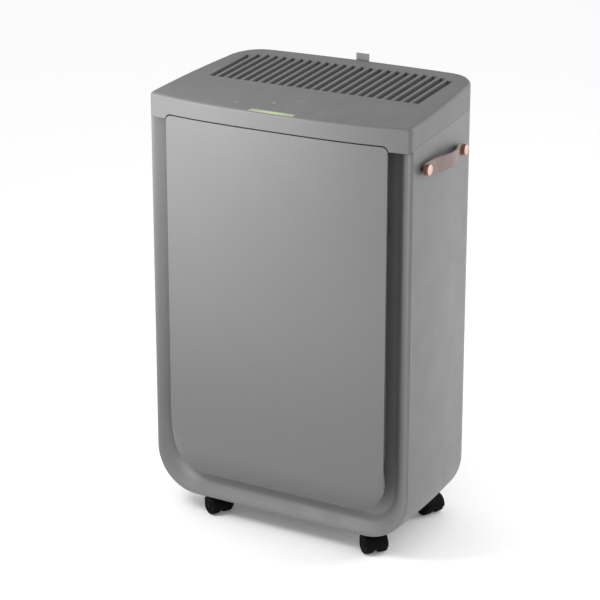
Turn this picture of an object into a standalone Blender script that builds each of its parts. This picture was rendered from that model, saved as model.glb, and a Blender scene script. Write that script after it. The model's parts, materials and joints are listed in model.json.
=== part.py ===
"""Household dehumidifier on casters, as an assembly of separate pieces.

Frame: metres, +X to the right as seen from the front, -Y towards the front, +Z up.
The origin is on the floor, below the middle of the whole object's box.
"""
import math

import bmesh
import bpy
from mathutils import Vector

# ---------------------------------------------------------------- driving dimensions (metres)
HALF_WIDTH = 0.177            # of the casing at its front
CASE_FRONT = -0.0944          # front plane of the casing's rim
CASE_BACK = 0.0944            # back of the casing at its rounded corners
SIDE_TAPER = 0.0166           # how far each side would draw in by CASE_BACK
BACK_CORNER = 0.0383          # radius of the vertical back edges
BACK_BOW = 0.006              # the back stands this much prouder in the middle
BOTTOM_CORNER = 0.0566        # radius of the lower corners seen from the front
BACK_HEM = 0.012              # radius where the bottom turns up at the back
FLOOR_GAP = 0.0268            # floor to the casing's underside
WALL = 0.0022
GAP = 0.0004                  # between neighbours that touch
SEAM_GAP = 0.0008             # under the top cover's skirt

DECK_FRONT_Z = 0.5323         # height of the deck over CASE_FRONT
DECK_SLOPE = 0.1145           # the deck climbs towards the back
COVER_WALL = 0.0025
DECK_EDGE = 0.005             # rounding between deck and sides
EDGE_EASE_X = 0.158           # from here outwards the fascia's edge grows into the sides' rounding
FASCIA_EDGE = 0.0030          # rounding between deck and fascia
FASCIA_Y = -0.1099            # foremost line of the bowed fascia
FASCIA_BOW = 0.0144
COVER_CORNER = 0.006          # plan radius where the fascia turns into the side
LOBE_Z = 0.5036               # bottom edge of the fascia beside the panel
NOTCH_Z = 0.5100              # bottom edge of the fascia over the panel
NOTCH_RADIUS = 0.008
PANEL_GAP = 0.0012            # between panel and fascia
SEAM_STEP = 0.0050            # the side seam climbs this much right behind the corner
SEAM_EASE = 0.012
SEAM_RISE = 0.075             # steady climb behind that

LENS_HALF = 0.0302            # of the light bar on the deck's front edge
LENS_DEEP = 0.0092            # from the foremost line of the fascia to the back of the light bar
LENS_THICK = 0.0013

SLOT_COUNT = 24
SLOT_SPAN = 0.278             # between the centres of the outermost slots
SLOT_WIDTH = 0.0076
SLOT_FRONT = -0.0186
SLOT_BACK = 0.0759
SLOT_END_CUT = (0.0088, 0.0030)   # how much shorter the outermost slots are
RIB_DEPTH = 0.0085            # of the ribs between the slots, below the deck

PANEL_HALF = 0.1498
PANEL_TOP = NOTCH_Z - PANEL_GAP
PANEL_BOTTOM = 0.0600
PANEL_FOOT_Y = -0.1019        # face of the panel along its flat bottom edge
PANEL_WALL = 0.0035
PANEL_TOP_CORNER = 0.007
PANEL_FOOT_CORNER = 0.042
PANEL_CURL = 0.014            # height over which the panel's face turns back at its foot
PANEL_CURL_RADIUS = 0.030

RECESS_Y = -0.077             # bottom of the tray behind the panel
RECESS_TOP = 0.5028
CLIP_WINDOW_X = 0.1392        # small windows in the tray beside the panel's edge
CLIP_WINDOW_ZS = (0.4268, 0.4036)
FRAME_WALL = 0.002

STUD_Z = 0.4810
STUD_YS = (-0.0700, 0.0311)
STUD_REACH = 0.0108           # outer face of a stud above the side
STUD_RADIUS = 0.0063
STRAP_WIDTH = 0.0175
STRAP_THICK = 0.0026
STRAP_SEAT = 0.0050           # middle of the strap above the side at a stud
STRAP_BOW = 0.0083            # extra reach where the strap stands farthest off
STRAP_SHAPE = ((0.0, 0.0), (0.10, 0.03), (0.25, 0.30), (0.42, 0.75), (0.57, 1.0), (0.74, 0.83), (0.87, 0.40),
               (0.96, 0.07), (1.0, 0.0))   # along the free length: share of the bow
STRAP_END_WIDTH = 0.0150
STRAP_TAIL = 0.0060           # strap beyond each stud's axis

CASTER_X = 0.1125
CASTER_Y = 0.067
CASTER_TRAIL = 0.0137
WHEEL_RADIUS = 0.012
WHEEL_WIDTH = 0.011
WHEEL_INNER = 0.0026          # inner face of a wheel from the caster's middle plane
STEM_RADIUS = 0.004
STEM_TOP = 0.048
CASTER_HEADINGS = {"front_left": -25.0, "front_right": -37.0, "back_left": -30.0, "back_right": -21.0}

BACK_REACH = 0.1099           # rearmost face, so that the box is centred on the origin
FAN_X, FAN_Z = 0.0, 0.375     # fan axis, along Y
TANK_LOW = Vector((-0.0290, -0.058, 0.0422))
TANK_HIGH = Vector((0.0960, 0.0965, 0.2360))
SHELF_LOW, SHELF_HIGH = 0.2430, 0.2460
PAN_TOP = 0.0366
DRAIN_X, DRAIN_Y = 0.0335, 0.075

# ---------------------------------------------------------------- scene
for old in list(bpy.data.objects):
    bpy.data.objects.remove(old, do_unlink=True)

parts = bpy.data.collections.new("dehumidifier")
cutters = bpy.data.collections.new("cutters")
bpy.context.scene.collection.children.link(parts)
bpy.context.scene.collection.children.link(cutters)


def material(name, colour, roughness, metallic=0.0):
    mat = bpy.data.materials.new(name)
    mat.use_nodes = True
    shader = mat.node_tree.nodes["Principled BSDF"]
    shader.inputs["Base Color"].default_value = (*colour, 1.0)
    shader.inputs["Roughness"].default_value = roughness
    shader.inputs["Metallic"].default_value = metallic
    return mat


COLOURS = {
    "body_grey": ((0.30, 0.30, 0.30), 0.55, 0.0),
    "deck_grey": ((0.25, 0.25, 0.25), 0.55, 0.0),
    "panel_grey": ((0.34, 0.34, 0.34), 0.35, 0.6),
    "recess_grey": ((0.16, 0.16, 0.16), 0.6, 0.0),
    "inner_black": ((0.03, 0.03, 0.03), 0.6, 0.0),
    "enamel_black": ((0.02, 0.02, 0.02), 0.35, 0.0),
    "caster_black": ((0.015, 0.015, 0.015), 0.5, 0.0),
    "light_grey": ((0.55, 0.55, 0.54), 0.5, 0.0),
    "mesh_black": ((0.05, 0.05, 0.05), 0.9, 0.0),
    "tank_smoke": ((0.35, 0.37, 0.38), 0.2, 0.0),
    "tan_leather": ((0.42, 0.28, 0.24), 0.7, 0.0),
    "rose_copper": ((0.85, 0.50, 0.40), 0.25, 1.0),
    "aluminium_fin": ((0.75, 0.76, 0.78), 0.35, 1.0),
    "copper_pipe": ((0.72, 0.38, 0.24), 0.3, 1.0),
    "zinc_steel": ((0.55, 0.56, 0.58), 0.4, 1.0),
    "board_green": ((0.03, 0.18, 0.08), 0.5, 0.0),
    "green_light": ((0.45, 0.75, 0.10), 0.3, 0.0),
}
MATERIALS = {name: material(name, *look) for name, look in COLOURS.items()}


# ---------------------------------------------------------------- building tools
def place(name, mesh, look):
    """An object in the parts collection, or among the cutters where look is None."""
    item = bpy.data.objects.new(name, mesh)
    if look is None:
        cutters.objects.link(item)
        item.hide_render = True
        item.display_type = "WIRE"
    else:
        parts.objects.link(item)
        mesh.materials.append(MATERIALS[look])
    return item


def finish(name, bm, look, smooth=None):
    bmesh.ops.recalc_face_normals(bm, faces=bm.faces)
    mesh = bpy.data.meshes.new(name)
    bm.to_mesh(mesh)
    bm.free()
    if smooth is not None:
        mesh.shade_smooth()
        mesh.set_sharp_from_angle(angle=math.radians(smooth))
    return place(name, mesh, look)


def add_box(bm, low, high):
    made = bmesh.ops.create_cube(bm, size=1.0)
    low, high = Vector(low), Vector(high)
    for vert in made["verts"]:
        vert.co = Vector([low[k] + (vert.co[k] + 0.5) * (high[k] - low[k]) for k in range(3)])


def box(name, low, high, look, bevel=0.0):
    bm = bmesh.new()
    add_box(bm, low, high)
    item = finish(name, bm, look)
    if bevel:
        edge = item.modifiers.new("Bevel", "BEVEL")
        edge.width = bevel
        edge.segments = 1
    return item


def boxes(name, corners, look=None):
    """Several separate boxes in one mesh, for a cutter."""
    bm = bmesh.new()
    for low, high in corners:
        add_box(bm, low, high)
    return finish(name, bm, look)


def turned(name, profile, look, origin, axis="Z", steps=24):
    """A profile of (radius, height) pairs, top to bottom, turned about an axis through origin."""
    mesh = bpy.data.meshes.new(name)
    ring = profile[0] == profile[-1]
    points = [(radius, 0.0, height) for radius, height in (profile[:-1] if ring else profile)]
    edges = [(k, k + 1) for k in range(len(points) - 1)]
    if ring:
        edges.append((len(points) - 1, 0))
    mesh.from_pydata(points, edges, [])
    item = place(name, mesh, look)
    screw = item.modifiers.new("Screw", "SCREW")
    screw.axis = "Z"
    screw.steps = steps
    screw.render_steps = steps
    screw.use_merge_vertices = True
    screw.merge_threshold = 0.00001
    screw.use_smooth_shade = True
    item.location = origin
    turns = {"Z": (0.0, 0.0, 0.0), "X": (0.0, math.pi / 2, 0.0), "Y": (-math.pi / 2, 0.0, 0.0)}
    item.rotation_euler = turns[axis]
    return item


def rod(name, radius, low, high, look, origin, axis="Z", steps=24):
    """A plain cylinder from low to high along an axis through origin."""
    profile = [(0.0, high), (radius, high), (radius, low), (0.0, low)]
    return turned(name, profile, look, origin, axis, steps)


def boolean(target, cutter, operation="DIFFERENCE"):
    change = target.modifiers.new(cutter.name, "BOOLEAN")
    change.operation = operation
    change.solver = "EXACT"
    change.object = cutter
    return target


def loft(name, rings, look, smooth=35.0):
    """A closed solid through closed rings of equal length, capped at both ends."""
    bm = bmesh.new()
    rows = [[bm.verts.new(point) for point in ring] for ring in rings]
    count = len(rows[0])
    for lower, upper in zip(rows, rows[1:]):
        for k in range(count):
            near = (k + 1) % count
            bm.faces.new((lower[k], lower[near], upper[near], upper[k]))
    bm.faces.new(rows[0])
    bm.faces.new(rows[-1])
    return finish(name, bm, look, smooth)


def sheet(name, rows, wall, look, outward, closed=False, fill=False, smooth=35.0):
    """A grid of points made a shell of the given wall, thickened away from the outward side."""
    bm = bmesh.new()
    grid = [[bm.verts.new(point) for point in row] for row in rows]
    count = len(grid[0])
    for first, second in zip(grid, grid[1:]):
        for k in range(count if closed else count - 1):
            near = (k + 1) % count
            bm.faces.new((first[k], first[near], second[near], second[k]))
    if fill:
        bm.faces.new(grid[-1])
    bmesh.ops.recalc_face_normals(bm, faces=bm.faces)
    spot = Vector(outward)
    nearest = min(bm.faces, key=lambda face: (face.calc_center_median() - spot).length)
    if nearest.normal.dot(spot - nearest.calc_center_median()) < 0.0:
        bmesh.ops.reverse_faces(bm, faces=bm.faces)
    mesh = bpy.data.meshes.new(name)
    bm.to_mesh(mesh)
    bm.free()
    mesh.shade_smooth()
    mesh.set_sharp_from_angle(angle=math.radians(smooth))
    item = place(name, mesh, look)
    shell = item.modifiers.new("Solidify", "SOLIDIFY")
    shell.thickness = wall
    shell.offset = -1.0
    shell.use_even_offset = True
    return item


def extruded(name, outline, low, high, axis, look):
    """A flat outline of (u, v) pairs made a solid between low and high along an axis."""
    def point(pair, level):
        u, v = pair
        return {"X": (level, u, v), "Y": (u, level, v), "Z": (u, v, level)}[axis]
    rings = [[point(pair, level) for pair in outline] for level in (low, high)]
    return loft(name, rings, look, smooth=25.0)


def tube(name, points, radius, look):
    """A pipe through points, made a mesh with welded caps."""
    curve = bpy.data.curves.new(name, "CURVE")
    curve.dimensions = "3D"
    curve.bevel_depth = radius
    curve.bevel_resolution = 2
    curve.use_fill_caps = True
    path = curve.splines.new("POLY")
    path.points.add(len(points) - 1)
    for spot, point in zip(path.points, points):
        spot.co = (*point, 1.0)
    guide = bpy.data.objects.new(name + "_guide", curve)
    parts.objects.link(guide)
    bpy.context.view_layer.update()
    evaluated = guide.evaluated_get(bpy.context.evaluated_depsgraph_get())
    mesh = bpy.data.meshes.new_from_object(evaluated)
    bpy.data.objects.remove(guide, do_unlink=True)
    bm = bmesh.new()
    bm.from_mesh(mesh)
    bmesh.ops.remove_doubles(bm, verts=bm.verts, dist=0.00001)
    bpy.data.meshes.remove(mesh)
    return finish(name, bm, look, smooth=40.0)


def rounded_path(corners, radius, steps=3):
    """The corner points with each inner corner turned into a short arc of chords."""
    points = [Vector(corners[0])]
    for before, here, after in zip(corners, corners[1:], corners[2:]):
        before, here, after = Vector(before), Vector(here), Vector(after)
        reach = min(radius, (before - here).length * 0.45, (after - here).length * 0.45)
        start = here + (before - here).normalized() * reach
        end = here + (after - here).normalized() * reach
        for k in range(steps + 1):
            t = k / steps
            points.append(start * (1 - t) ** 2 + here * 2 * t * (1 - t) + end * t ** 2)
    points.append(Vector(corners[-1]))
    return points


def shrink(outline, distance):
    """A closed counter-clockwise outline moved inwards, by one distance or one per point."""
    count = len(outline)
    moved = []
    for k in range(count):
        before, here, after = (Vector(outline[(k + j) % count]) for j in (-1, 0, 1))
        into = (here - before).normalized()
        out = (after - here).normalized()
        normal = Vector((-into.y - out.y, into.x + out.x)).normalized()
        lean = max(normal.dot(Vector((-into.y, into.x))), 0.5)
        step = distance[k] if isinstance(distance, (list, tuple)) else distance
        moved.append(here + normal * (step / lean))
    return moved


# ---------------------------------------------------------------- shared outlines
def side_half(y):
    share = max(y - CASE_FRONT, 0.0) / (CASE_BACK - CASE_FRONT)
    return HALF_WIDTH - SIDE_TAPER * share ** 2


def deck_z(y):
    return DECK_FRONT_Z + DECK_SLOPE * (y - CASE_FRONT)


def seam_z(y):
    reach = max(y - CASE_FRONT, 0.0)
    return LOBE_Z + SEAM_STEP * (1.0 - math.exp(-reach / SEAM_EASE)) + SEAM_RISE * reach


def fascia_y(x):
    return FASCIA_Y + FASCIA_BOW * abs(x / HALF_WIDTH) ** 3


def back_y(x):
    return CASE_BACK + BACK_BOW * (1.0 - (x / HALF_WIDTH) ** 2)


CORNER_START_Y = CASE_BACK - BACK_CORNER
CORNER_CENTRE_X = side_half(CORNER_START_Y) - BACK_CORNER
SIDE_YS = (-0.060, -0.028, 0.004, 0.032, CORNER_START_Y)
CORNER_ANGLES = [math.radians(13.0 * k) for k in range(1, 7)]


def back_corner(angle):
    x = CORNER_CENTRE_X + BACK_CORNER * math.cos(angle)
    y = CORNER_START_Y + BACK_CORNER * math.sin(angle)
    return x, y + (back_y(x) - CASE_BACK) * math.sin(angle), y


def mirrored(half):
    """A right-hand half outline, front to back, closed into a counter-clockwise loop."""
    left = [(-x, y) for x, y in reversed(half) if x > 1e-6]
    return half + left


def cover_outline():
    turn = CASE_FRONT + 0.0039
    half = [(x, fascia_y(x)) for x in (0.0, 0.04, 0.08, 0.11, 0.135, 0.155, HALF_WIDTH - COVER_CORNER)]
    start = half[-1]
    for k in range(1, 5):
        angle = math.radians(22.5 * k)
        half.append((start[0] + COVER_CORNER * math.sin(angle), turn + (start[1] - turn) * math.cos(angle)))
    half += [(side_half(y), y) for y in SIDE_YS]
    half += [back_corner(angle)[:2] for angle in CORNER_ANGLES]
    half += [(x, back_y(x)) for x in (CORNER_CENTRE_X, 0.095, 0.05, 0.0)]
    return mirrored(half)


def deck_edge(x, y):
    """Rounding of the deck's edge at a point of the plan outline."""
    if y > CASE_FRONT + 0.006:
        return DECK_EDGE
    share = min(max((abs(x) - EDGE_EASE_X) / (HALF_WIDTH - EDGE_EASE_X), 0.0), 1.0)
    return FASCIA_EDGE + (DECK_EDGE - FASCIA_EDGE) * share ** 2


def hull_loop(half, low, top, radius, steps=8):
    """An upright outline of (x, z) pairs with rounded lower corners, from top left to top right."""
    low_z = low + radius
    left = [(-half, top), (-half, top + (low_z - top) * 0.5)]
    corner = []
    for k in range(steps + 1):
        angle = math.pi / 2 * k / steps
        corner.append((-(half - radius) - radius * math.cos(angle), low_z - radius * math.sin(angle)))
    half_loop = left + corner
    right = [(-x, z) for x, z in reversed(half_loop)]
    return half_loop + right


# ---------------------------------------------------------------- outer shell
def make_casing():
    """The wrap: both sides and the bottom in one shell, open at the front, back and top."""
    stations = [(side_half(y), y, y) for y in (CASE_FRONT + 0.0030,) + SIDE_YS]
    stations += [back_corner(angle) for angle in CORNER_ANGLES]
    rows = []
    for half, y, level_y in stations:
        dip = max(level_y - (CASE_BACK - BACK_HEM), 0.0)
        low = FLOOR_GAP + BACK_HEM - math.sqrt(BACK_HEM ** 2 - dip ** 2)
        loop = hull_loop(half, low, seam_z(y) - SEAM_GAP, BOTTOM_CORNER)
        rows.append([(x, y, z) for x, z in loop])
    casing = sheet("casing", rows, WALL, "body_grey", (0.0, 0.0, -1.0))
    bores = []
    for x in (-CASTER_X, CASTER_X):
        for y in (-CASTER_Y, CASTER_Y):
            bores.append((x, y))
    for k, (x, y) in enumerate(bores):
        bore = rod(f"stem_bore_{k}", STEM_RADIUS + 0.0006, -0.01, 0.01, None, (x, y, FLOOR_GAP), steps=12)
        boolean(casing, bore)
    for k, side in enumerate((-1, 1)):
        for j, y in enumerate(STUD_YS):
            spot = (side * side_half(y), y, STUD_Z)
            bore = rod(f"stud_bore_{k}{j}", 0.0028, -0.008, 0.008, None, spot, "X", 12)
            boolean(casing, bore)


def make_front_frame():
    """The tray behind the panel: a rim all round, a scooped channel and a flat bottom."""
    steps = [(0.0003, 0.0024), (0.0003, 0.0017), (0.0010, 0.0007), (0.0022, 0.0001), (0.0040, 0.0004),
             (0.0068, 0.0022), (0.0142, 0.0080), (0.0180, 0.0111), (0.0214, 0.0138), (0.0255, 0.0162)]
    rows = []
    for inset, depth in steps:
        rows.append((inset, CASE_FRONT + depth))
    rows.append((0.0340, RECESS_Y))
    loops = []
    for inset, y in rows:
        top = RECESS_TOP - min(inset, 0.0072) * 0.5
        loop = hull_loop(HALF_WIDTH - inset, FLOOR_GAP + inset, top, BOTTOM_CORNER - inset, 6)
        loops.append([(x, y, z) for x, z in loop])
    frame = sheet("front_frame", loops, FRAME_WALL, "recess_grey", (0.0, -1.0, 0.3), closed=True, fill=True)
    windows = []
    for z in CLIP_WINDOW_ZS:
        for x in (-CLIP_WINDOW_X, CLIP_WINDOW_X):
            low = (x - 0.0025, RECESS_Y - 0.01, z - 0.0018)
            windows.append((low, (x + 0.0025, RECESS_Y + 0.01, z + 0.0018)))
    boolean(frame, boxes("clip_windows", windows))


def panel_y(x, z, low=PANEL_BOTTOM):
    """The panel's face: flat at its foot, bowed like the fascia at its top, turned back over its edge."""
    share = (z - PANEL_BOTTOM) / (PANEL_TOP - PANEL_BOTTOM)
    past = max(low + PANEL_CURL - z, 0.0)
    curl = PANEL_CURL_RADIUS - math.sqrt(PANEL_CURL_RADIUS ** 2 - past ** 2)
    return PANEL_FOOT_Y + (fascia_y(x) - PANEL_FOOT_Y) * share + curl


def make_front_panel():
    """The floating panel: flat along its foot, bowed like the fascia along its top."""
    foot = [PANEL_FOOT_CORNER * math.sin(math.radians(15.0 * k)) for k in range(7)]
    half = [0.0, 0.035, 0.075] + [PANEL_HALF - PANEL_FOOT_CORNER + reach for reach in foot]
    half += [PANEL_HALF - PANEL_TOP_CORNER * share for share in (1.0, 0.5, 0.13)]
    half = sorted(half)
    columns = [-x for x in reversed(half[1:])] + half
    rows = []
    for share in (0.0, 0.011, 0.022, 0.034, 0.2, 0.4, 0.6, 0.8, 1.0):
        row = []
        for x in columns:
            past_foot = max(abs(x) - (PANEL_HALF - PANEL_FOOT_CORNER), 0.0)
            past_top = max(abs(x) - (PANEL_HALF - PANEL_TOP_CORNER), 0.0)
            lift = math.sqrt(max(PANEL_FOOT_CORNER ** 2 - past_foot ** 2, 0))
            low = PANEL_BOTTOM + PANEL_FOOT_CORNER - lift
            high = PANEL_TOP - PANEL_TOP_CORNER + math.sqrt(max(PANEL_TOP_CORNER ** 2 - past_top ** 2, 0))
            z = low + (high - low) * share
            row.append((x, panel_y(x, z, low), z))
        rows.append(row)
    sheet("front_panel", rows, PANEL_WALL, "panel_grey", (0.0, -1.0, 0.3))


def make_panel_clips():
    """Four flanged posts that hold the panel off the tray."""
    spots = [(-0.105, 0.13), (0.105, 0.13), (-0.105, 0.46), (0.105, 0.46)]
    for k, (x, z) in enumerate(spots):
        foot = RECESS_Y - GAP
        head = panel_y(x, z) + PANEL_WALL + 0.0007
        length = foot - head
        profile = [(0.0, length), (0.005, length), (0.005, 0.002), (0.009, 0.002), (0.009, 0.0), (0.0, 0.0)]
        post = turned(f"panel_clip_{k + 1}", profile, "inner_black", (x, foot, z), "Z", 16)
        post.rotation_euler = (math.pi / 2, 0.0, 0.0)


def make_top_cover():
    """Deck, bowed fascia and skirt in one moulding, with the outlet slots cut through the deck."""
    outline = cover_outline()
    edges = [deck_edge(x, y) for x, y in outline]
    base = 0.49
    rings = [[(x, y, base) for x, y in outline]]
    rings.append([(x, y, deck_z(y) - edge) for (x, y), edge in zip(outline, edges)])
    for share in (0.3, 1.0):
        inner = shrink(outline, [edge * share for edge in edges])
        drops = [edge * (0.3 if share < 1.0 else 0.0) for edge in edges]
        rings.append([(x, y, deck_z(y) - drop) for (x, y), drop in zip(inner, drops)])
    cover = loft("top_cover", rings, "deck_grey")

    hollow = shrink(outline, COVER_WALL)
    rings = [[(x, y, base - 0.01) for x, y in hollow], [(x, y, deck_z(y) - COVER_WALL) for x, y in hollow]]
    boolean(cover, loft("cover_hollow", rings, None))

    ys = [-0.13, CASE_FRONT, CASE_FRONT + 0.0025, CASE_FRONT + 0.010, CASE_FRONT + 0.020]
    ys += list(SIDE_YS) + [back_corner(angle)[1] for angle in CORNER_ANGLES] + [0.0985, 0.105]
    below = [(y, seam_z(y)) for y in ys] + [(ys[-1], 0.45), (ys[0], 0.45)]
    boolean(cover, extruded("cover_seam", below, -0.25, 0.25, "X", None))

    reach = PANEL_HALF + PANEL_GAP
    arc = [math.radians(15.0 * k) for k in range(7)]
    right = [(reach - NOTCH_RADIUS * (1 - math.cos(a)), NOTCH_Z - NOTCH_RADIUS * (1 - math.sin(a))) for a in arc]
    notch = [(reach, 0.45)] + right + [(-x, z) for x, z in reversed(right)] + [(-reach, 0.45)]
    boolean(cover, extruded("cover_notch", notch, -0.13, -0.09, "Y", None))

    reach = SLOT_SPAN / 2 + SLOT_WIDTH / 2
    near, far = SLOT_FRONT - 0.0025, SLOT_BACK + 0.0015
    field = [(near, deck_z(near) - RIB_DEPTH), (far, deck_z(far) - RIB_DEPTH), (far, deck_z(far) - 0.001),
             (near, deck_z(near) - 0.001)]
    boolean(cover, extruded("rib_field", field, -reach - 0.003, reach + 0.003, "X", None), "UNION")
    pitch = SLOT_SPAN / (SLOT_COUNT - 1)
    slots = []
    for k in range(SLOT_COUNT):
        x = -SLOT_SPAN / 2 + pitch * k
        rank = min(k, SLOT_COUNT - 1 - k)
        cut = SLOT_END_CUT[rank] if rank < len(SLOT_END_CUT) else 0.0
        slots.append(((x - SLOT_WIDTH / 2, SLOT_FRONT, 0.5), (x + SLOT_WIDTH / 2, SLOT_BACK - cut, 0.6)))
    boolean(cover, boxes("outlet_slots", slots))

    near, far = FASCIA_Y + FASCIA_EDGE - 0.0006, FASCIA_Y + LENS_DEEP
    near_z, far_z = deck_z(FASCIA_Y), deck_z(far - FASCIA_EDGE)
    pocket = [(near - GAP, near_z - LENS_THICK - GAP), (near - GAP, 0.6), (far + GAP, 0.6),
              (far + GAP, far_z - LENS_THICK - GAP)]
    boolean(cover, extruded("lens_pocket", pocket, -LENS_HALF - GAP, LENS_HALF + GAP, "X", None))
    bar = [(near, near_z - LENS_THICK), (near, near_z - 0.0003), (near + 0.0006, near_z - 0.0001),
           (far, far_z - 0.0001), (far, far_z - LENS_THICK)]
    extruded("light_bar", bar, -LENS_HALF, LENS_HALF, "X", "green_light")


def make_rear_cover():
    """The back wall inside the wrap, with the tank bay, the intake, the gland and the drain hole."""
    half_width = back_corner(CORNER_ANGLES[-1])[0] - 0.0010
    low = FLOOR_GAP + 0.0090
    radius = BOTTOM_CORNER - 0.0008
    turns = [radius * math.sin(math.radians(15.0 * k)) for k in range(7)]
    half = [0.0, 0.04] + [half_width - radius + turn for turn in turns]
    columns = [-x for x in reversed(half[1:])] + half
    rows = []
    for share in (0.0, 0.5, 1.0):
        row = []
        for x in columns:
            past = max(abs(x) - (half_width - radius), 0.0)
            foot = low + radius - math.sqrt(max(radius ** 2 - past ** 2, 0.0))
            z = foot + (seam_z(back_y(x)) - SEAM_GAP - foot) * share
            row.append((x, back_y(x), z))
        rows.append(row)
    cover = sheet("rear_cover", rows, 0.0024, "body_grey", (0.0, 1.0, 0.3))
    rim = Vector((0.0012, 0.0, 0.0012))
    bay = (TANK_LOW - rim, TANK_HIGH + rim + Vector((0.0, 0.0, 0.0028)))
    bay = [((bay[0].x, 0.08, bay[0].z), (bay[1].x, 0.12, bay[1].z))]
    intake = [((-0.100, 0.08, 0.268), (0.100, 0.12, 0.498))]
    boolean(cover, boxes("rear_openings", bay + intake))
    for name, x, z, radius in (("gland_hole", -0.100, 0.105, 0.0066), ("drain_hole", -0.055, 0.105, 0.0096)):
        boolean(cover, rod(name, radius, -0.02, 0.02, None, (x, 0.096, z), "Y", 20))


def make_rear_grille():
    """The louvred guard behind the filter, open at its top so that the filter lifts out."""
    low, high = (-0.117, 0.0989, 0.252), (0.117, BACK_REACH, 0.5385)
    grille = box("rear_grille", low, high, "body_grey")
    room = [((-0.1105, 0.09, 0.24), (0.1105, 0.1012, 0.56)), ((-0.1105, 0.1010, 0.2585), (0.1105, 0.1062, 0.56))]
    for k, span in enumerate(room):
        boolean(grille, boxes(f"grille_room_{k}", [span]))
    bars = []
    for row in range(13):
        z = 0.270 + 0.0195 * row
        for left, right in ((-0.100, -0.004), (0.004, 0.100)):
            bars.append(((left, 0.10, z), (right, 0.12, z + 0.0125)))
    boolean(grille, boxes("grille_bars", bars))


def make_filter():
    """The filter: a light frame with a pull tab, and its mesh."""
    frame = box("filter_frame", (-0.1098, 0.1016, 0.2592), (0.1098, 0.1054, 0.5400), "body_grey")
    tab = box("filter_tab_form", (-0.0085, 0.1024, 0.535), (0.0085, 0.1046, 0.5612), None)
    boolean(frame, tab, "UNION")
    boolean(frame, boxes("filter_window", [((-0.1000, 0.09, 0.2680), (0.1000, 0.12, 0.5290))]))
    box("filter_mesh", (-0.0996, 0.1031, 0.2684), (0.0996, 0.1039, 0.5286), "mesh_black")


# ---------------------------------------------------------------- handles
def strap_line(side, reach):
    """The strap's plan line at a given reach above the side: flat at the studs, bowed between."""
    first, last = STUD_YS
    flat = STUD_RADIUS + 0.0018
    near, far = side_half(first) + reach, side_half(last) + reach
    line = [(side * near, first - STRAP_TAIL)]
    for share, bow in STRAP_SHAPE:
        y = first + flat + (last - first - 2 * flat) * share
        line.append((side * (near + (far - near) * share + STRAP_BOW * bow), y))
    line.append((side * far, last + STRAP_TAIL))
    return line


def strap_outline():
    """The strap seen from the side, as (y, z): rounded ends, a little wider in the middle."""
    end, middle = STRAP_END_WIDTH / 2, STRAP_WIDTH / 2
    first, last = STUD_YS
    outline = []
    for k in range(9):
        angle = math.radians(90.0 + 22.5 * k)
        outline.append((first + STRAP_TAIL * math.cos(angle), STUD_Z + end * math.sin(angle)))
    outline.append((first + (last - first) * 0.3, STUD_Z - middle))
    outline.append((first + (last - first) * 0.7, STUD_Z - middle))
    for k in range(9):
        angle = math.radians(-90.0 + 22.5 * k)
        outline.append((last + STRAP_TAIL * math.cos(angle), STUD_Z + end * math.sin(angle)))
    outline.append((first + (last - first) * 0.7, STUD_Z + middle))
    outline.append((first + (last - first) * 0.3, STUD_Z + middle))
    return outline


def make_handles():
    """A leather strap and two riveted studs on each side."""
    for label, side in (("left", -1), ("right", 1)):
        inner = strap_line(side, STRAP_SEAT - STRAP_THICK / 2)
        outer = strap_line(side, STRAP_SEAT + STRAP_THICK / 2)
        strap = extruded(f"strap_{label}", inner + outer[::-1], STUD_Z - STRAP_WIDTH, STUD_Z + STRAP_WIDTH, "Z",
                         "tan_leather")
        boolean(strap, extruded(f"strap_form_{label}", strap_outline(), -0.25, 0.25, "X", None), "INTERSECT")
        for place_name, y in zip(("front", "rear"), STUD_YS):
            spot = (side * side_half(y), y, STUD_Z)
            hole = rod(f"strap_hole_{label}_{place_name}", 0.0029, -0.02, 0.02, None, spot, "X", 12)
            boolean(strap, hole)
            seat = STRAP_SEAT - STRAP_THICK / 2 - GAP
            top = STRAP_SEAT + STRAP_THICK / 2 + 0.0008
            profile = [(0.0, STUD_REACH), (STUD_RADIUS - 0.0007, STUD_REACH), (STUD_RADIUS, STUD_REACH - 0.0007),
                       (STUD_RADIUS, top), (0.0024, top), (0.0024, seat), (0.0045, seat), (0.0045, 0.0009),
                       (0.0024, 0.0009), (0.0024, -0.005), (0.0, -0.005)]
            stud = turned(f"stud_{label}_{place_name}", profile, "rose_copper", spot, "X", 14)
            if side < 0:
                stud.rotation_euler = (0.0, -math.pi / 2, 0.0)


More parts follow.
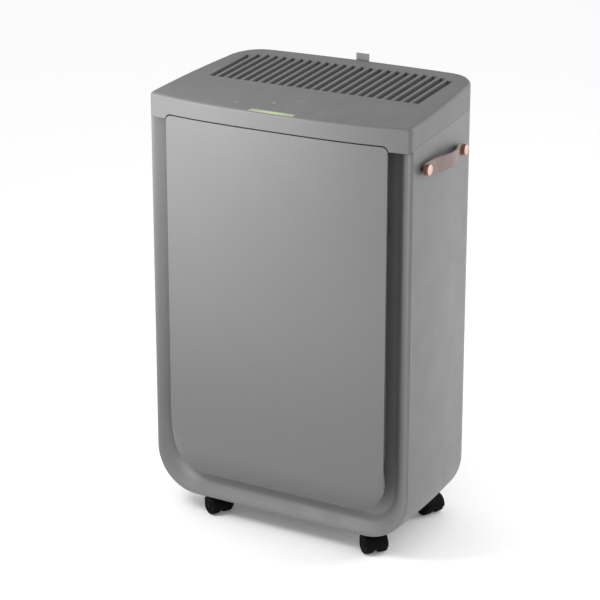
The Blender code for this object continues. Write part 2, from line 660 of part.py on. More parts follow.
# ---------------------------------------------------------------- casters
def make_casters():
    """Four swivelling twin-wheel casters: a hood on a stem, and two wheels on its axle."""
    hub_gap = 0.0006
    axle_radius = 0.0020
    for label, heading in CASTER_HEADINGS.items():
        x = CASTER_X if "right" in label else -CASTER_X
        y = CASTER_Y if "back" in label else -CASTER_Y
        pivot = bpy.data.objects.new(f"caster_{label}_pivot", None)
        parts.objects.link(pivot)
        pivot.location = (x, y, 0.0)
        pivot.rotation_euler = (0.0, 0.0, math.radians(heading))

        half = WHEEL_INNER + WHEEL_WIDTH
        shell = WHEEL_RADIUS + 0.0019
        arc = [math.radians(-10.0 + 25.0 * k) for k in range(8)]
        centre = (CASTER_TRAIL, WHEEL_RADIUS)
        outside = [(centre[0] + shell * math.cos(a), centre[1] + shell * math.sin(a)) for a in arc]
        inside_radius = WHEEL_RADIUS + 0.0006
        inside = [(centre[0] + inside_radius * math.cos(a), centre[1] + inside_radius * math.sin(a)) for a in arc]
        hood = extruded(f"caster_hood_{label}", outside + inside[::-1], -half + 0.001, half - 0.001, "Y",
                        "caster_black")
        web = [(centre[0] + 0.0129 * math.cos(a), centre[1] + 0.0129 * math.sin(a)) for a in arc]
        web += [(0.0062, 0.0045), (0.0200, 0.0045)]
        web_form = extruded(f"caster_web_{label}", web, -WHEEL_INNER + hub_gap, WHEEL_INNER - hub_gap, "Y", None)
        stem_profile = [(0.0, STEM_TOP), (STEM_RADIUS - 0.0006, STEM_TOP), (STEM_RADIUS, STEM_TOP - 0.0008),
                        (STEM_RADIUS, 0.0262), (0.0062, 0.0262), (0.0062, 0.0150), (0.0, 0.0150)]
        stem_form = turned(f"caster_stem_{label}", stem_profile, None, (0.0, 0.0, 0.0), "Z", 12)
        rear_clear = extruded(f"caster_clear_{label}", wheel_circle(inside_radius), WHEEL_INNER - hub_gap, 0.02,
                              "Y", None)
        front_clear = extruded(f"caster_clear_b_{label}", wheel_circle(inside_radius), -0.02,
                               -WHEEL_INNER + hub_gap, "Y", None)
        axle = rod(f"caster_axle_{label}", axle_radius, -half + 0.002, half - 0.002, None,
                   (CASTER_TRAIL, 0.0, WHEEL_RADIUS), "Y", 8)
        for form, operation in ((web_form, "UNION"), (stem_form, "UNION"), (rear_clear, "DIFFERENCE"),
                                (front_clear, "DIFFERENCE"), (axle, "UNION")):
            form.parent = pivot
            boolean(hood, form, operation)
        hood.parent = pivot

        for side, turn in (("a", -math.pi / 2), ("b", math.pi / 2)):
            direction = 1 if side == "a" else -1
            width = WHEEL_WIDTH
            bore = axle_radius + 0.0003
            profile = [(bore, width), (0.0098, width), (WHEEL_RADIUS, width - 0.0022), (WHEEL_RADIUS, 0.0012),
                       (0.0108, 0.0), (bore, 0.0), (bore, width)]
            wheel = turned(f"caster_wheel_{label}_{side}", profile, "caster_black",
                           (CASTER_TRAIL, direction * WHEEL_INNER, WHEEL_RADIUS), "Z", 20)
            wheel.rotation_euler = (turn, 0.0, 0.0)
            wheel.parent = pivot


def wheel_circle(radius):
    angles = [math.radians(22.5 * k) for k in range(16)]
    return [(CASTER_TRAIL + radius * math.cos(a), WHEEL_RADIUS + radius * math.sin(a)) for a in angles]


# ---------------------------------------------------------------- chassis and tank
def make_base():
    """Base pan with a boss over each caster stem and two rails under the tank."""
    right = [(0.120, -0.0735), (0.120, 0.060), (0.110, 0.076)]
    outline = right + [(-x, y) for x, y in reversed(right)]
    pan = extruded("base_pan", outline, FLOOR_GAP + 0.0048, PAN_TOP, "Z", "inner_black")
    rails = []
    for x in (-0.008, 0.070):
        rails.append(((x, -0.055, PAN_TOP - 0.001), (x + 0.005, 0.075, TANK_LOW.z - GAP)))
    for k, rail in enumerate(rails):
        boolean(pan, boxes(f"pan_rail_{k}", [rail]), "UNION")
    for k, x in enumerate((-CASTER_X, CASTER_X)):
        for j, y in enumerate((-CASTER_Y, CASTER_Y)):
            side = -1 if y < 0 else 1
            reach = 0.0062 if side < 0 else 0.0072
            boss = rod(f"stem_boss_{k}{j}", reach, PAN_TOP - 0.002, PAN_TOP + 0.004, None, (x, y, 0.0), steps=12)
            boolean(pan, boss, "UNION")
            hole = rod(f"stem_socket_{k}{j}", STEM_RADIUS + 0.0004, 0.02, 0.06, None, (x, y, 0.0), steps=12)
            boolean(pan, hole)
    shelf = box("chassis_shelf", (-0.116, -0.0742, SHELF_LOW), (0.126, 0.091, SHELF_HIGH), "inner_black")
    boolean(shelf, rod("shelf_drain", 0.0085, -0.02, 0.02, None, (DRAIN_X, DRAIN_Y, SHELF_LOW), steps=20))
    box("tank_divider", (-0.0345, -0.0742, PAN_TOP + GAP), (-0.0325, 0.091, SHELF_LOW - GAP), "inner_black")


def make_tank():
    """The water tank with its lid, float and swinging bail."""
    wall = 0.002
    tank = box("water_tank", TANK_LOW, TANK_HIGH, "tank_smoke")
    room = (TANK_LOW + Vector((wall, wall, wall)), TANK_HIGH + Vector((-wall, -wall, 0.02)))
    boolean(tank, boxes("tank_room", [room]))
    bail_z, bail_y, bail_radius = 0.196, 0.1012, 0.0028
    lug_xs = (-0.004, 0.071)
    for k, x in enumerate(lug_xs):
        lug = boxes(f"tank_lug_{k}", [((x - 0.002, TANK_HIGH.y - 0.001, bail_z - 0.006),
                                       (x + 0.002, BACK_REACH - 0.0042, bail_z + 0.006))])
        boolean(tank, lug, "UNION")
        pin = rod(f"lug_bore_{k}", bail_radius + 0.0004, -0.01, 0.01, None, (x, bail_y, bail_z), "X", 16)
        boolean(tank, pin)
    drop = 0.040
    left, right = lug_xs
    corners = [(left - 0.0035, 0, 0), (left + 0.0105, 0, 0), (left + 0.0105, 0, -drop),
               (right - 0.0105, 0, -drop), (right - 0.0105, 0, 0), (right + 0.0035, 0, 0)]
    bail = tube("tank_handle", rounded_path(corners, 0.008), bail_radius, "inner_black")
    bail.location = (0.0, bail_y, bail_z)

    lid_low = TANK_HIGH.z + GAP
    lid = box("tank_lid", (TANK_LOW.x, TANK_LOW.y, lid_low), (TANK_HIGH.x, TANK_HIGH.y, lid_low + 0.0022),
              "light_grey")
    boolean(lid, rod("lid_inlet", 0.012, -0.02, 0.02, None, (DRAIN_X, DRAIN_Y, lid_low), steps=20))
    pivot = Vector((DRAIN_X, -0.045, lid_low - 0.012))
    for k, x in enumerate((DRAIN_X - 0.012, DRAIN_X + 0.009)):
        ear = boxes(f"float_ear_{k}", [((x, pivot.y - 0.005, pivot.z - 0.005), (x + 0.003, pivot.y + 0.005,
                                                                                lid_low + 0.001))])
        boolean(lid, ear, "UNION")
        bore = rod(f"float_bore_{k}", 0.0024, -0.01, 0.01, None, (x, pivot.y, pivot.z), "X", 16)
        boolean(lid, bore)
    arm = box("tank_float", (-0.0040, 0.0, -0.0016), (0.0040, 0.030, 0.0016), "light_grey")
    arm.location = pivot
    pin = rod("float_pin", 0.0020, -0.0155, 0.0155, None, pivot, "X", 12)
    pin.rotation_euler = (0.0, math.pi / 2, 0.0)
    body = boxes("float_body", [((-0.018, 0.028, -0.013), (0.018, 0.058, 0.003))])
    body.location = pivot
    boolean(arm, pin, "UNION")
    boolean(arm, body, "UNION")


# ---------------------------------------------------------------- cooling circuit
def make_coil(name, low_y, high_y, bend_x):
    """A finned block with two end plates and return bends on one side."""
    low, high = 0.2512, 0.5000
    coil = box(name, (-0.100, low_y, low), (0.100, high_y, high), "aluminium_fin")
    plates = []
    for x in (-0.1035, 0.0995):
        plates.append(((x, low_y - 0.0008, low - 0.0006), (x + 0.004, high_y + 0.0008, high + 0.0006)))
    for k, plate in enumerate(plates):
        boolean(coil, boxes(f"{name}_plate_{k}", [plate]), "UNION")
    middle = (low_y + high_y) / 2
    for k in range(4):
        z = 0.29 + 0.055 * k
        turn = []
        for step in range(5):
            angle = math.pi * step / 4
            turn.append((bend_x + 0.0095 * math.sin(angle), middle, z + 0.0095 * math.cos(angle)))
        path = [(bend_x - 0.004, middle, z + 0.0095)] + turn + [(bend_x - 0.004, middle, z - 0.0095)]
        bend = tube(f"{name}_bend_{k}", path, 0.0032, None)
        boolean(coil, bend, "UNION")


def make_cooling():
    """Compressor, accumulator, coils and their pipes."""
    x, y = -0.084, -0.008
    profile = [(0.0, 0.2020), (0.0120, 0.2010), (0.0300, 0.1965), (0.0410, 0.1880), (0.0460, 0.1750),
               (0.0460, 0.0740), (0.0420, 0.0620), (0.0300, 0.0520), (0.0, 0.0500)]
    compressor = turned("compressor", profile, "enamel_black", (x, y, 0.0), "Z", 20)
    plate = ((x - 0.037, y - 0.044, 0.0480), (x + 0.037, y + 0.044, 0.0510))
    boolean(compressor, boxes("compressor_plate", [plate]), "UNION")
    spots = ((x - 0.029, y - 0.036), (x + 0.029, y - 0.036), (x - 0.029, y + 0.036), (x + 0.029, y + 0.036))
    for k, (foot_x, foot_y) in enumerate(spots):
        foot = rod(f"compressor_foot_{k}", 0.007, PAN_TOP + GAP, 0.0500, None, (foot_x, foot_y, 0.0), steps=12)
        boolean(compressor, foot, "UNION")

    profile = [(0.0, 0.1700), (0.0100, 0.1680), (0.0170, 0.1580), (0.0170, 0.0700), (0.0100, 0.0600),
               (0.0, 0.0580)]
    turned("accumulator", profile, "enamel_black", (x, 0.064, 0.0), "Z", 20)

    make_coil("evaporator", 0.0660, 0.0900, 0.1030)
    make_coil("condenser", 0.0390, 0.0600, 0.1030)

    suction = [(-0.1041, 0.078, 0.300), (-0.124, 0.078, 0.300), (-0.124, 0.078, 0.200), (x, 0.064, 0.192),
               (x, 0.064, 0.1706)]
    tube("suction_pipe", rounded_path(suction, 0.012), 0.0040, "copper_pipe")
    discharge = [(x, y, 0.2026), (x, y, 0.222), (-0.125, 0.030, 0.226), (-0.125, 0.0495, 0.330),
                 (-0.1041, 0.0495, 0.330)]
    tube("discharge_pipe", rounded_path(discharge, 0.012), 0.0032, "copper_pipe")
    capillary = [(-0.1041, 0.0495, 0.440), (-0.116, 0.0495, 0.440), (-0.116, 0.078, 0.450),
                 (-0.1041, 0.078, 0.450)]
    tube("capillary_tube", rounded_path(capillary, 0.006), 0.0012, "copper_pipe")

    tray = box("drip_tray", (-0.1085, 0.0345, SHELF_HIGH + GAP), (0.1085, 0.0935, 0.2600), "inner_black")
    spout = rod("tray_spout", 0.0060, -0.0065, 0.002, None, (DRAIN_X, DRAIN_Y, SHELF_HIGH), steps=20)
    boolean(tray, spout, "UNION")
    room = [((-0.1068, 0.0362, 0.2484), (0.1068, 0.0918, 0.27))]
    boolean(tray, boxes("tray_room", room))
    boolean(tray, rod("spout_bore", 0.0042, -0.02, 0.02, None, (DRAIN_X, DRAIN_Y, SHELF_HIGH), steps=16))


# ---------------------------------------------------------------- air path
def scroll_outline(inset):
    """The fan scroll seen from the front: a spiral that opens into an upright outlet."""
    first, last = 75.0, 360.0
    steps = 19
    points = []
    for k in range(steps + 1):
        share = k / steps
        angle = math.radians(first + (last - first) * share)
        radius = 0.080 + 0.030 * share - inset
        points.append((FAN_X + radius * math.cos(angle), FAN_Z + radius * math.sin(angle)))
    top = 0.5025 + (0.01 if inset else 0.0)
    points.append((FAN_X + 0.110 - inset, top))
    points.append((FAN_X + 0.012 + inset, top))
    return points


def make_fan():
    """Scroll housing, inlet shroud, centrifugal wheel, shaft and motor."""
    front, back = -0.030, 0.018
    housing = extruded("fan_housing", scroll_outline(0.0), front, back, "Y", "inner_black")
    boolean(housing, extruded("scroll_room", scroll_outline(0.002), front + 0.002, back + 0.01, "Y", None))
    boolean(housing, rod("shaft_hole", 0.0080, -0.02, 0.02, None, (FAN_X, front, FAN_Z), "Y", 16))
    shroud = box("inlet_shroud", (-0.112, back + 0.0006, SHELF_HIGH + GAP), (0.112, back + 0.0026, 0.5020),
                 "inner_black")
    boolean(shroud, rod("shroud_eye", 0.058, -0.02, 0.02, None, (FAN_X, back, FAN_Z), "Y", 32))

    wheel_profile = [(0.0033, 0.026), (0.0100, 0.026), (0.0110, 0.0030), (0.0740, 0.0020), (0.0740, 0.0),
                     (0.0033, 0.0), (0.0033, 0.026)]
    wheel = turned("fan_wheel", wheel_profile, "inner_black", (FAN_X, front + 0.005, FAN_Z), "Z", 24)
    wheel.rotation_euler = (-math.pi / 2, 0.0, 0.0)
    blades = bmesh.new()
    count = 18
    for k in range(count):
        made = bmesh.ops.create_cube(blades, size=1.0)
        angle = 2 * math.pi * k / count
        lean = angle + math.radians(40.0)
        for vert in made["verts"]:
            along, across, up = vert.co.x * 0.015, vert.co.y * 0.0012, (vert.co.z + 0.5) * 0.0345 + 0.0012
            vert.co = Vector((0.0650 * math.cos(angle) + along * math.cos(lean) - across * math.sin(lean),
                              0.0650 * math.sin(angle) + along * math.sin(lean) + across * math.cos(lean), up))
    blade_form = finish("fan_blades", blades, None)
    ring_profile = [(0.0580, 0.0380), (0.0730, 0.0380), (0.0730, 0.0350), (0.0580, 0.0350), (0.0580, 0.0380)]
    ring_form = turned("fan_ring", ring_profile, None, (0.0, 0.0, 0.0), "Z", 24)
    for form in (blade_form, ring_form):
        form.parent = wheel
        boolean(wheel, form, "UNION")

    rod("motor_shaft", 0.0030, -0.034, 0.0245, "zinc_steel", (FAN_X, front + 0.005, FAN_Z), "Y", 16)
    motor_profile = [(0.0, -0.0310), (0.0036, -0.0310), (0.0036, 0.0), (0.0140, 0.0), (0.0140, -0.0030),
                     (0.0330, -0.0050), (0.0360, -0.0090), (0.0360, -0.0300), (0.0330, -0.0350),
                     (0.0120, -0.0380), (0.0, -0.0380)]
    turned("fan_motor", motor_profile, "zinc_steel", (FAN_X, front - GAP, FAN_Z), "Y", 24)

    wall = 0.0018
    left, right, near, far = -0.1500, 0.1500, front - 0.002, SLOT_BACK + 0.004
    rings = []
    for inset, low, lift in ((0.0, 0.5032, 0.0), (wall, 0.5052, 0.01)):
        corners = [(left + inset, near + inset), (right - inset, near + inset), (right - inset, far - inset),
                   (left + inset, far - inset)]
        bottom = [(x, y, low) for x, y in corners]
        top = [(x, y, deck_z(y) - COVER_WALL - 0.0012 + lift) for x, y in corners]
        rings.append([bottom, top])
    duct = loft("outlet_duct", rings[0], "inner_black")
    boolean(duct, loft("duct_room", rings[1], None))
    boolean(duct, boxes("duct_mouth", [((FAN_X + 0.016, front + 0.004, 0.49), (FAN_X + 0.108, back - 0.003, 0.51))]))


# ---------------------------------------------------------------- electrics and small parts
def make_electrics():
    """Boards, capacitor, sensors, gland and drain cap."""
    board = box("control_board", (-0.055, -0.017, -0.0008), (0.055, 0.017, 0.0008), "board_green")
    board.location = (0.0, -0.082, 0.5245)
    board.rotation_euler = (math.atan(DECK_SLOPE), 0.0, 0.0)
    power = box("power_board", (0.062, -0.0620, 0.300), (0.140, -0.0604, 0.420), "board_green")
    blocks = [((0.070, -0.0608, 0.315), (0.090, -0.048, 0.340)),
              ((0.105, -0.0608, 0.350), (0.128, -0.044, 0.380))]
    for k, block in enumerate(blocks):
        boolean(power, boxes(f"power_block_{k}", [block]), "UNION")
    profile = [(0.0, 0.060), (0.0155, 0.060), (0.0170, 0.0585), (0.0170, 0.0), (0.0, 0.0)]
    turned("run_capacitor", profile, "light_grey", (-0.096, -0.050, SHELF_HIGH + GAP), "Z", 20)
    box("humidity_sensor", (0.113, 0.074, 0.470), (0.124, 0.086, 0.492), "light_grey", 0.001)
    box("level_switch", (0.025, -0.0730, 0.206), (0.043, -0.0600, 0.222), "inner_black", 0.001)

    gland_y = back_y(-0.100)
    profile = [(0.0, 0.0010), (0.0034, 0.0010), (0.0034, 0.0080), (0.0060, 0.0080), (0.0105, 0.0025),
               (0.0105, 0.0006), (0.0062, 0.0006), (0.0062, -0.0090), (0.0, -0.0090)]
    turned("cord_gland", profile, "inner_black", (-0.100, gland_y, 0.105), "Y", 16)
    cap_y = back_y(-0.055)
    profile = [(0.0, 0.0040), (0.0110, 0.0040), (0.0120, 0.0030), (0.0120, 0.0004), (0.0090, 0.0004),
               (0.0084, -0.0090), (0.0, -0.0090)]
    turned("drain_cap", profile, "caster_black", (-0.055, cap_y + 0.0003, 0.105), "Y", 20)


make_casing()
make_front_frame()
make_front_panel()
make_panel_clips()
make_top_cover()
make_rear_cover()
make_rear_grille()
make_filter()
make_handles()
make_casters()
make_base()
make_tank()
make_cooling()
make_fan()
make_electrics()
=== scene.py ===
import json
import math

import bmesh
import bpy
from mathutils import Matrix, Vector


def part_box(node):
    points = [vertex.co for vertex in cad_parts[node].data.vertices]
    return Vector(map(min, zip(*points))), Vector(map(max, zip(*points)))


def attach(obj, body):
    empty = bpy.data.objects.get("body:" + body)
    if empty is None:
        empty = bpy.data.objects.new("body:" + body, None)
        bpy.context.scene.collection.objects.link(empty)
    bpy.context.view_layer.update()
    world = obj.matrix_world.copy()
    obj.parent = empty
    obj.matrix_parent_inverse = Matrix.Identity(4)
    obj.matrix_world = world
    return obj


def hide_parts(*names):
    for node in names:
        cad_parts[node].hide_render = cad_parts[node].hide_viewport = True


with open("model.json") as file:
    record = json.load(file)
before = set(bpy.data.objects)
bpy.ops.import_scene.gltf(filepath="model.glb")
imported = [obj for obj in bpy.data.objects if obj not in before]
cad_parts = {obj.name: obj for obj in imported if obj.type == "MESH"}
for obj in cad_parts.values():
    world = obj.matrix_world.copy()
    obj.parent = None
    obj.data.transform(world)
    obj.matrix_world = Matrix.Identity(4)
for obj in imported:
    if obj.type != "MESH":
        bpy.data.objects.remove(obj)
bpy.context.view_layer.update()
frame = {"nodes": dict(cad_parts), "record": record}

# ---------------- camera, sky, lights
CAMERA_PLACE = (1.3195, -2.2019, 1.1304)
CAMERA_TURN = (71.58, 0.0, 31.43)     # degrees
CAMERA_LENS = 133.58                  # millimetres
SENSOR_WIDTH = 36.0                   # millimetres
SKY_AIM = (0.05, 0.0, 1.0)            # brightest part of the sky
SKY_SPAN = (-0.8, 0.9)                # how far along that direction the sky starts and ends its ramp
SKY_STRENGTH = (0.438, 0.95)
LIGHTS = (                            # name, place, target, size, watts, spread in degrees
    ("key", (-0.24, -0.46, 0.60), (-0.12, -0.10, 0.45), (0.24, 0.24), 1.98, 150.0),
    ("rim", (1.1, 1.0, 0.8), (0.16, 0.05, 0.3), (0.6, 1.2), 9.6, 180.0),
)
FLOOR_SIZE = 14.0
FLOOR_GLOW = 0.08

# ---------------- sizes in metres
# They are the CAD's, but for a few that were tuned to the photo by up to 2 mm.
HALF_WIDTH = 0.177
CASE_FRONT = -0.0944
CASE_BACK = 0.0944
SIDE_TAPER = 0.0166
BACK_CORNER = 0.0383
BACK_BOW = 0.006
BOTTOM_CORNER = 0.0566
BACK_HEM = 0.012
FLOOR_GAP = 0.0268
WALL = 0.0022
SEAM_GAP = 0.0008
CASE_SEAM_SHARE = 0.35                # how much of the gap lies on the casing's side

DECK_FRONT_Z = 0.5323
DECK_SLOPE = 0.1145
COVER_WALL = 0.0025
COVER_FOOT_Z = 0.49                   # the moulding before its seam is cut
BELOW_COVER_Z = 0.45
DECK_EDGE = 0.005
EDGE_EASE_X = 0.158
FASCIA_EDGE = 0.0030
FASCIA_Y = -0.1099
FASCIA_BOW = 0.0144
COVER_CORNER = 0.006
LOBE_Z = 0.5036
NOTCH_Z = 0.5100
NOTCH_RADIUS = 0.008
PANEL_GAP = 0.0012
SEAM_STEP = 0.0050
SEAM_EASE = 0.012
SEAM_RISE = 0.075
LENS_HALF = 0.0302
LENS_DEEP = 0.0078
LENS_PROUD = 0.00012
LENS_PLAY = 0.0003                    # between the lens and its pocket
POCKET_START = 61.0                   # degrees up the fascia's rounding
LENS_START = 64.0
FIELD_FRONT_MARGIN = 0.0025           # of the thick field that the outlet slots are cut into
FIELD_BACK_MARGIN = 0.0015
FIELD_SIDE_MARGIN = 0.003
FIELD_TOP_GAP = 0.001

SLOT_COUNT = 24
SLOT_SPAN = 0.278
SLOT_WIDTH = 0.0076
SLOT_FRONT = -0.0186
SLOT_BACK = 0.0759
SLOT_END_CUT = (0.0088, 0.0030)
RIB_DEPTH = 0.0085
VANE_COUNT = 7
VANE_REACH = 0.1480
VANE_DROP = 0.0050
VANE_THICK = 0.0011

PANEL_HALF = 0.1498
PANEL_TOP_GAP = 0.0016
PANEL_TOP = NOTCH_Z - PANEL_TOP_GAP
PANEL_BOTTOM = 0.0600
PANEL_FOOT_Y = -0.1019
PANEL_WALL = 0.0035
PANEL_TOP_CORNER = 0.007
PANEL_FOOT_CORNER = 0.042
PANEL_CURL = 0.034
PANEL_CURL_RADIUS = 0.115
# Painted shade and light: the panel darker towards its foot, the casing darker towards its front, the tray's
# channel lighter low down.
PAINTED_PANEL_SHADE_ZS = (0.10, 0.30)           # where the panel's and the tray's painted shades fade
PAINTED_PANEL_FOOT_SHADE_ZS = (PANEL_BOTTOM, PANEL_BOTTOM + 0.035)
PAINTED_CHANNEL_LIGHT_ZS = (0.045, 0.078)
PAINTED_CHANNEL_LIGHT_YS = (CASE_FRONT + 0.006, CASE_FRONT + 0.014)
PAINTED_FRONT_SHADE_YS = (CASE_FRONT, CASE_FRONT + 0.13)

RECESS_Y = -0.077
RECESS_TOP = 0.5028
CLIP_WINDOW_X = 0.1392
# The tray's rim and channel: inset from the casing, depth from the casing's front.
RIM_PROFILE = ((0.0003, 0.0024), (0.0003, 0.0017), (0.0010, 0.0007), (0.0022, 0.0001), (0.0040, 0.0004),
               (0.0068, 0.0022), (0.0104, 0.0050), (0.0142, 0.0080), (0.0180, 0.0111), (0.0214, 0.0138),
               (0.0255, 0.0162), (0.0340, RECESS_Y - CASE_FRONT))
TRAY_WALL = 0.002
CLIP_WINDOW_ZS = (0.4268, 0.4036)
CLIP_WINDOW_HALF = (0.0025, 0.0018)
CLIP_WINDOW_DEPTH = 0.0010

REAR_WALL = 0.0024
REAR_FOOT = 0.0090                    # above the casing's underside
REAR_OPENINGS = (((-0.0302, 0.08, 0.0410), (0.0972, 0.12, 0.2400)),     # tank
                 ((-0.100, 0.08, 0.268), (0.100, 0.12, 0.498)))         # intake
REAR_HOLES = ((-0.100, 0.105, 0.0066), (-0.055, 0.105, 0.0096))         # x, z and radius of drain and gland

STUD_Z = 0.4810
STUD_YS = (-0.0700, 0.0311)
STUD_REACH = 0.0108
STUD_RADIUS = 0.0063
STRAP_WIDTH = 0.0175
STRAP_END_WIDTH = 0.0150
STRAP_THICK = 0.0026
STRAP_SEAT = 0.0050
STRAP_BOW = 0.0083
STRAP_TAIL = 0.0042
STRAP_SHAPE = ((0.0, 0.0), (0.10, 0.03), (0.25, 0.30), (0.42, 0.75), (0.57, 1.0), (0.74, 0.83), (0.87, 0.40),
               (0.96, 0.07), (1.0, 0.0))      # share of the way between the studs, share of the bow
STRAP_SQUARENESS = (0.28, 0.62)               # smaller is squarer: across, through
STRAP_FULL_HALF = 0.004                       # the end tips are thinner below this half width
GROOVE_INSET = 0.0019
GROOVE_WIDTH = 0.00035
GROOVE_DEPTH = 0.00016
STUD_ROUND = 0.0007
STUD_NECK = 0.0024
POST_UNDER = 0.0004                   # between the strap and its post
POST_FOOT = ((0.0029, 0.0012), (0.0033, 0.0005), (0.0035, 0.0001), (0.0024, 0.0001), (0.0024, -0.005),
             (0.0, -0.005))           # radius, distance from the side

CASTER_X = 0.1125
CASTER_Y = 0.067
CASTER_TRAIL = 0.0137
WHEEL_RADIUS = 0.012
WHEEL_WIDTH = 0.0120
WHEEL_INNER = 0.0026
# Half a wheel's section as (radius, length): its inner face, and its outer face past the wheel's width.
WHEEL_BACK = ((0.0023, 0.0), (0.0096, 0.0), (0.0108, 0.0003), (0.0117, 0.0012), (0.0120, 0.0024))
WHEEL_FACE = ((0.0120, -0.0024), (0.0117, -0.0012), (0.0109, -0.0004), (0.0100, -0.0001), (0.0092, -0.0002),
              (0.0088, -0.0009), (0.0084, -0.0011), (0.0046, -0.0011), (0.0042, -0.0008), (0.0040, -0.0001),
              (0.0034, 0.0001), (0.0, 0.0002), (0.0, -0.0016), (0.0023, -0.0016))
TREAD_GROOVES = (0.0040, 0.0058, 0.0076)
TREAD_DEPTH = 0.00028
WHEEL_ROOM = ((0.0, -0.016), (0.0124, -0.016), (0.0124, 0.016), (0.0, 0.016))         # kept free of the stem
STEM_PROFILE = ((0.0, 0.048), (0.0034, 0.048), (0.0040, 0.0472), (0.0040, 0.0266), (0.0058, 0.0262),
                (0.0062, 0.0258), (0.0062, 0.0222), (0.0056, 0.0210), (0.0056, 0.0150), (0.0, 0.0150))
FENDER_GAP = 0.0019
FENDER_ARC = (-10.0, 165.0)           # degrees
FENDER_SHOULDER = 0.0011
FENDER_INSET = 0.0006
FENDER_WALL = 0.0010
WEB_RADIUS = 0.0130
WEB_HALF = 0.0019
WEB_FOOT = ((0.0062, 0.0045), (0.0200, 0.0045))
CASTER_HEADINGS = {"front_left": -25.0, "front_right": -37.0, "back_left": -30.0, "back_right": -21.0}

GRILLE_ROWS = 13
GRILLE_FIRST_Z = 0.270
GRILLE_PITCH = 0.0195
LOUVRE_Y = 0.1066
LOUVRE_SPANS = ((-0.1000, -0.0040), (0.0040, 0.1000))
LOUVRE_TOP = 0.0112
LOUVRE_LEAN = (0.0031, 0.0092)        # out and down, from its top to its foot
LOUVRE_ROLL = 0.0016

NET_PITCH = 0.0024
NET_MARGIN = 0.0003
THREAD_HALF = 0.00022
THREAD_THICK = 0.00034
THREAD_LAP = 0.00002                  # where the two layers of threads overlap
CROSSBAR_ZS = (0.3330, 0.3980, 0.4640)

BACK_SCREWS = ((-0.132, 0.480), (0.132, 0.480), (-0.132, 0.260), (0.132, 0.260), (-0.118, 0.070),
               (0.118, 0.070))
SCREW_RADIUS = 0.0032
# Shares of the radius, and heights; a share of 0.0 stands for the cross.
SCREW_PROFILE = ((1.0, -0.0004), (1.0, 0.0006), (0.90, 0.0012), (0.62, 0.0016), (0.0, 0.0017), (0.0, 0.0005))
SCREW_CROSS = (0.18, 0.34)            # the cross recess, as shares of the radius: waist, arms past that
PLATE_XS = (-0.115, -0.050)
PLATE_ZS = (0.170, 0.212)
PLATE_BARS = (0.62, 0.50, 0.72, 0.44, 0.58)   # shares of the plate's width
PLATE_BAR_PITCH = 0.0068
PLATE_BAR_HALF = 0.0008

EASED_EDGES = {"water_tank": 0.0012, "tank_lid": 0.0006, "tank_float": 0.0006, "base_pan": 0.0006,
               "chassis_shelf": 0.0005, "tank_divider": 0.0003, "drip_tray": 0.0005, "drain_cap": 0.0004,
               "cord_gland": 0.0004, "power_board": 0.0003, "control_board": 0.0002, "evaporator": 0.0004,
               "condenser": 0.0004}


# ---------------- camera, light, floor
def make_camera():
    data = bpy.data.cameras.new("camera")
    data.sensor_width = SENSOR_WIDTH
    data.lens = CAMERA_LENS
    camera = bpy.data.objects.new("camera", data)
    camera.location = CAMERA_PLACE
    camera.rotation_euler = [math.radians(angle) for angle in CAMERA_TURN]
    bpy.context.scene.collection.objects.link(camera)
    bpy.context.scene.camera = camera


def area_light(name, place, target, size, watts, spread):
    data = bpy.data.lights.new(name, "AREA")
    data.spread = math.radians(spread)
    data.shape = "RECTANGLE"
    data.size, data.size_y = size
    data.energy = watts
    light = bpy.data.objects.new(name, data)
    light.location = place
    light.rotation_euler = (Vector(target) - Vector(place)).to_track_quat("-Z", "Y").to_euler()
    bpy.context.scene.collection.objects.link(light)


def make_world():
    """A soft studio sky, brightest overhead."""
    world = bpy.data.worlds.new("studio")
    world.use_nodes = True
    nodes, links = world.node_tree.nodes, world.node_tree.links
    back = nodes["Background"]
    back.inputs["Color"].default_value = (1.0, 1.0, 1.0, 1.0)
    place = nodes.new("ShaderNodeTexCoord")
    aim = nodes.new("ShaderNodeVectorMath")
    aim.operation = "DOT_PRODUCT"
    aim.inputs[1].default_value = SKY_AIM
    links.new(place.outputs["Generated"], aim.inputs[0])
    ramp = nodes.new("ShaderNodeMapRange")
    ramp.interpolation_type = "SMOOTHSTEP"
    for key, value in zip(("From Min", "From Max", "To Min", "To Max"), (*SKY_SPAN, *SKY_STRENGTH)):
        ramp.inputs[key].default_value = value
    links.new(aim.outputs["Value"], ramp.inputs["Value"])
    links.new(ramp.outputs["Result"], back.inputs["Strength"])
    bpy.context.scene.world = world
    bpy.context.scene.view_settings.view_transform = "Standard"


def make_lights():
    for values in LIGHTS:
        area_light(*values)


def make_floor():
    bpy.ops.mesh.primitive_plane_add(size=FLOOR_SIZE, location=(0.0, 0.0, 0.0))
    floor = bpy.context.object
    floor.name = "floor"
    mat = bpy.data.materials.new("floor")
    mat.use_nodes = True
    shader = mat.node_tree.nodes["Principled BSDF"]
    for key, value in (("Base Color", (0.97, 0.97, 0.97, 1.0)), ("Roughness", 0.95),
                       ("Specular IOR Level", 0.1), ("Emission Color", (1.0, 1.0, 1.0, 1.0)),
                       ("Emission Strength", FLOOR_GLOW)):
        shader.inputs[key].default_value = value
    floor.data.materials.append(mat)


# ---------------- materials
LOOKS = {}


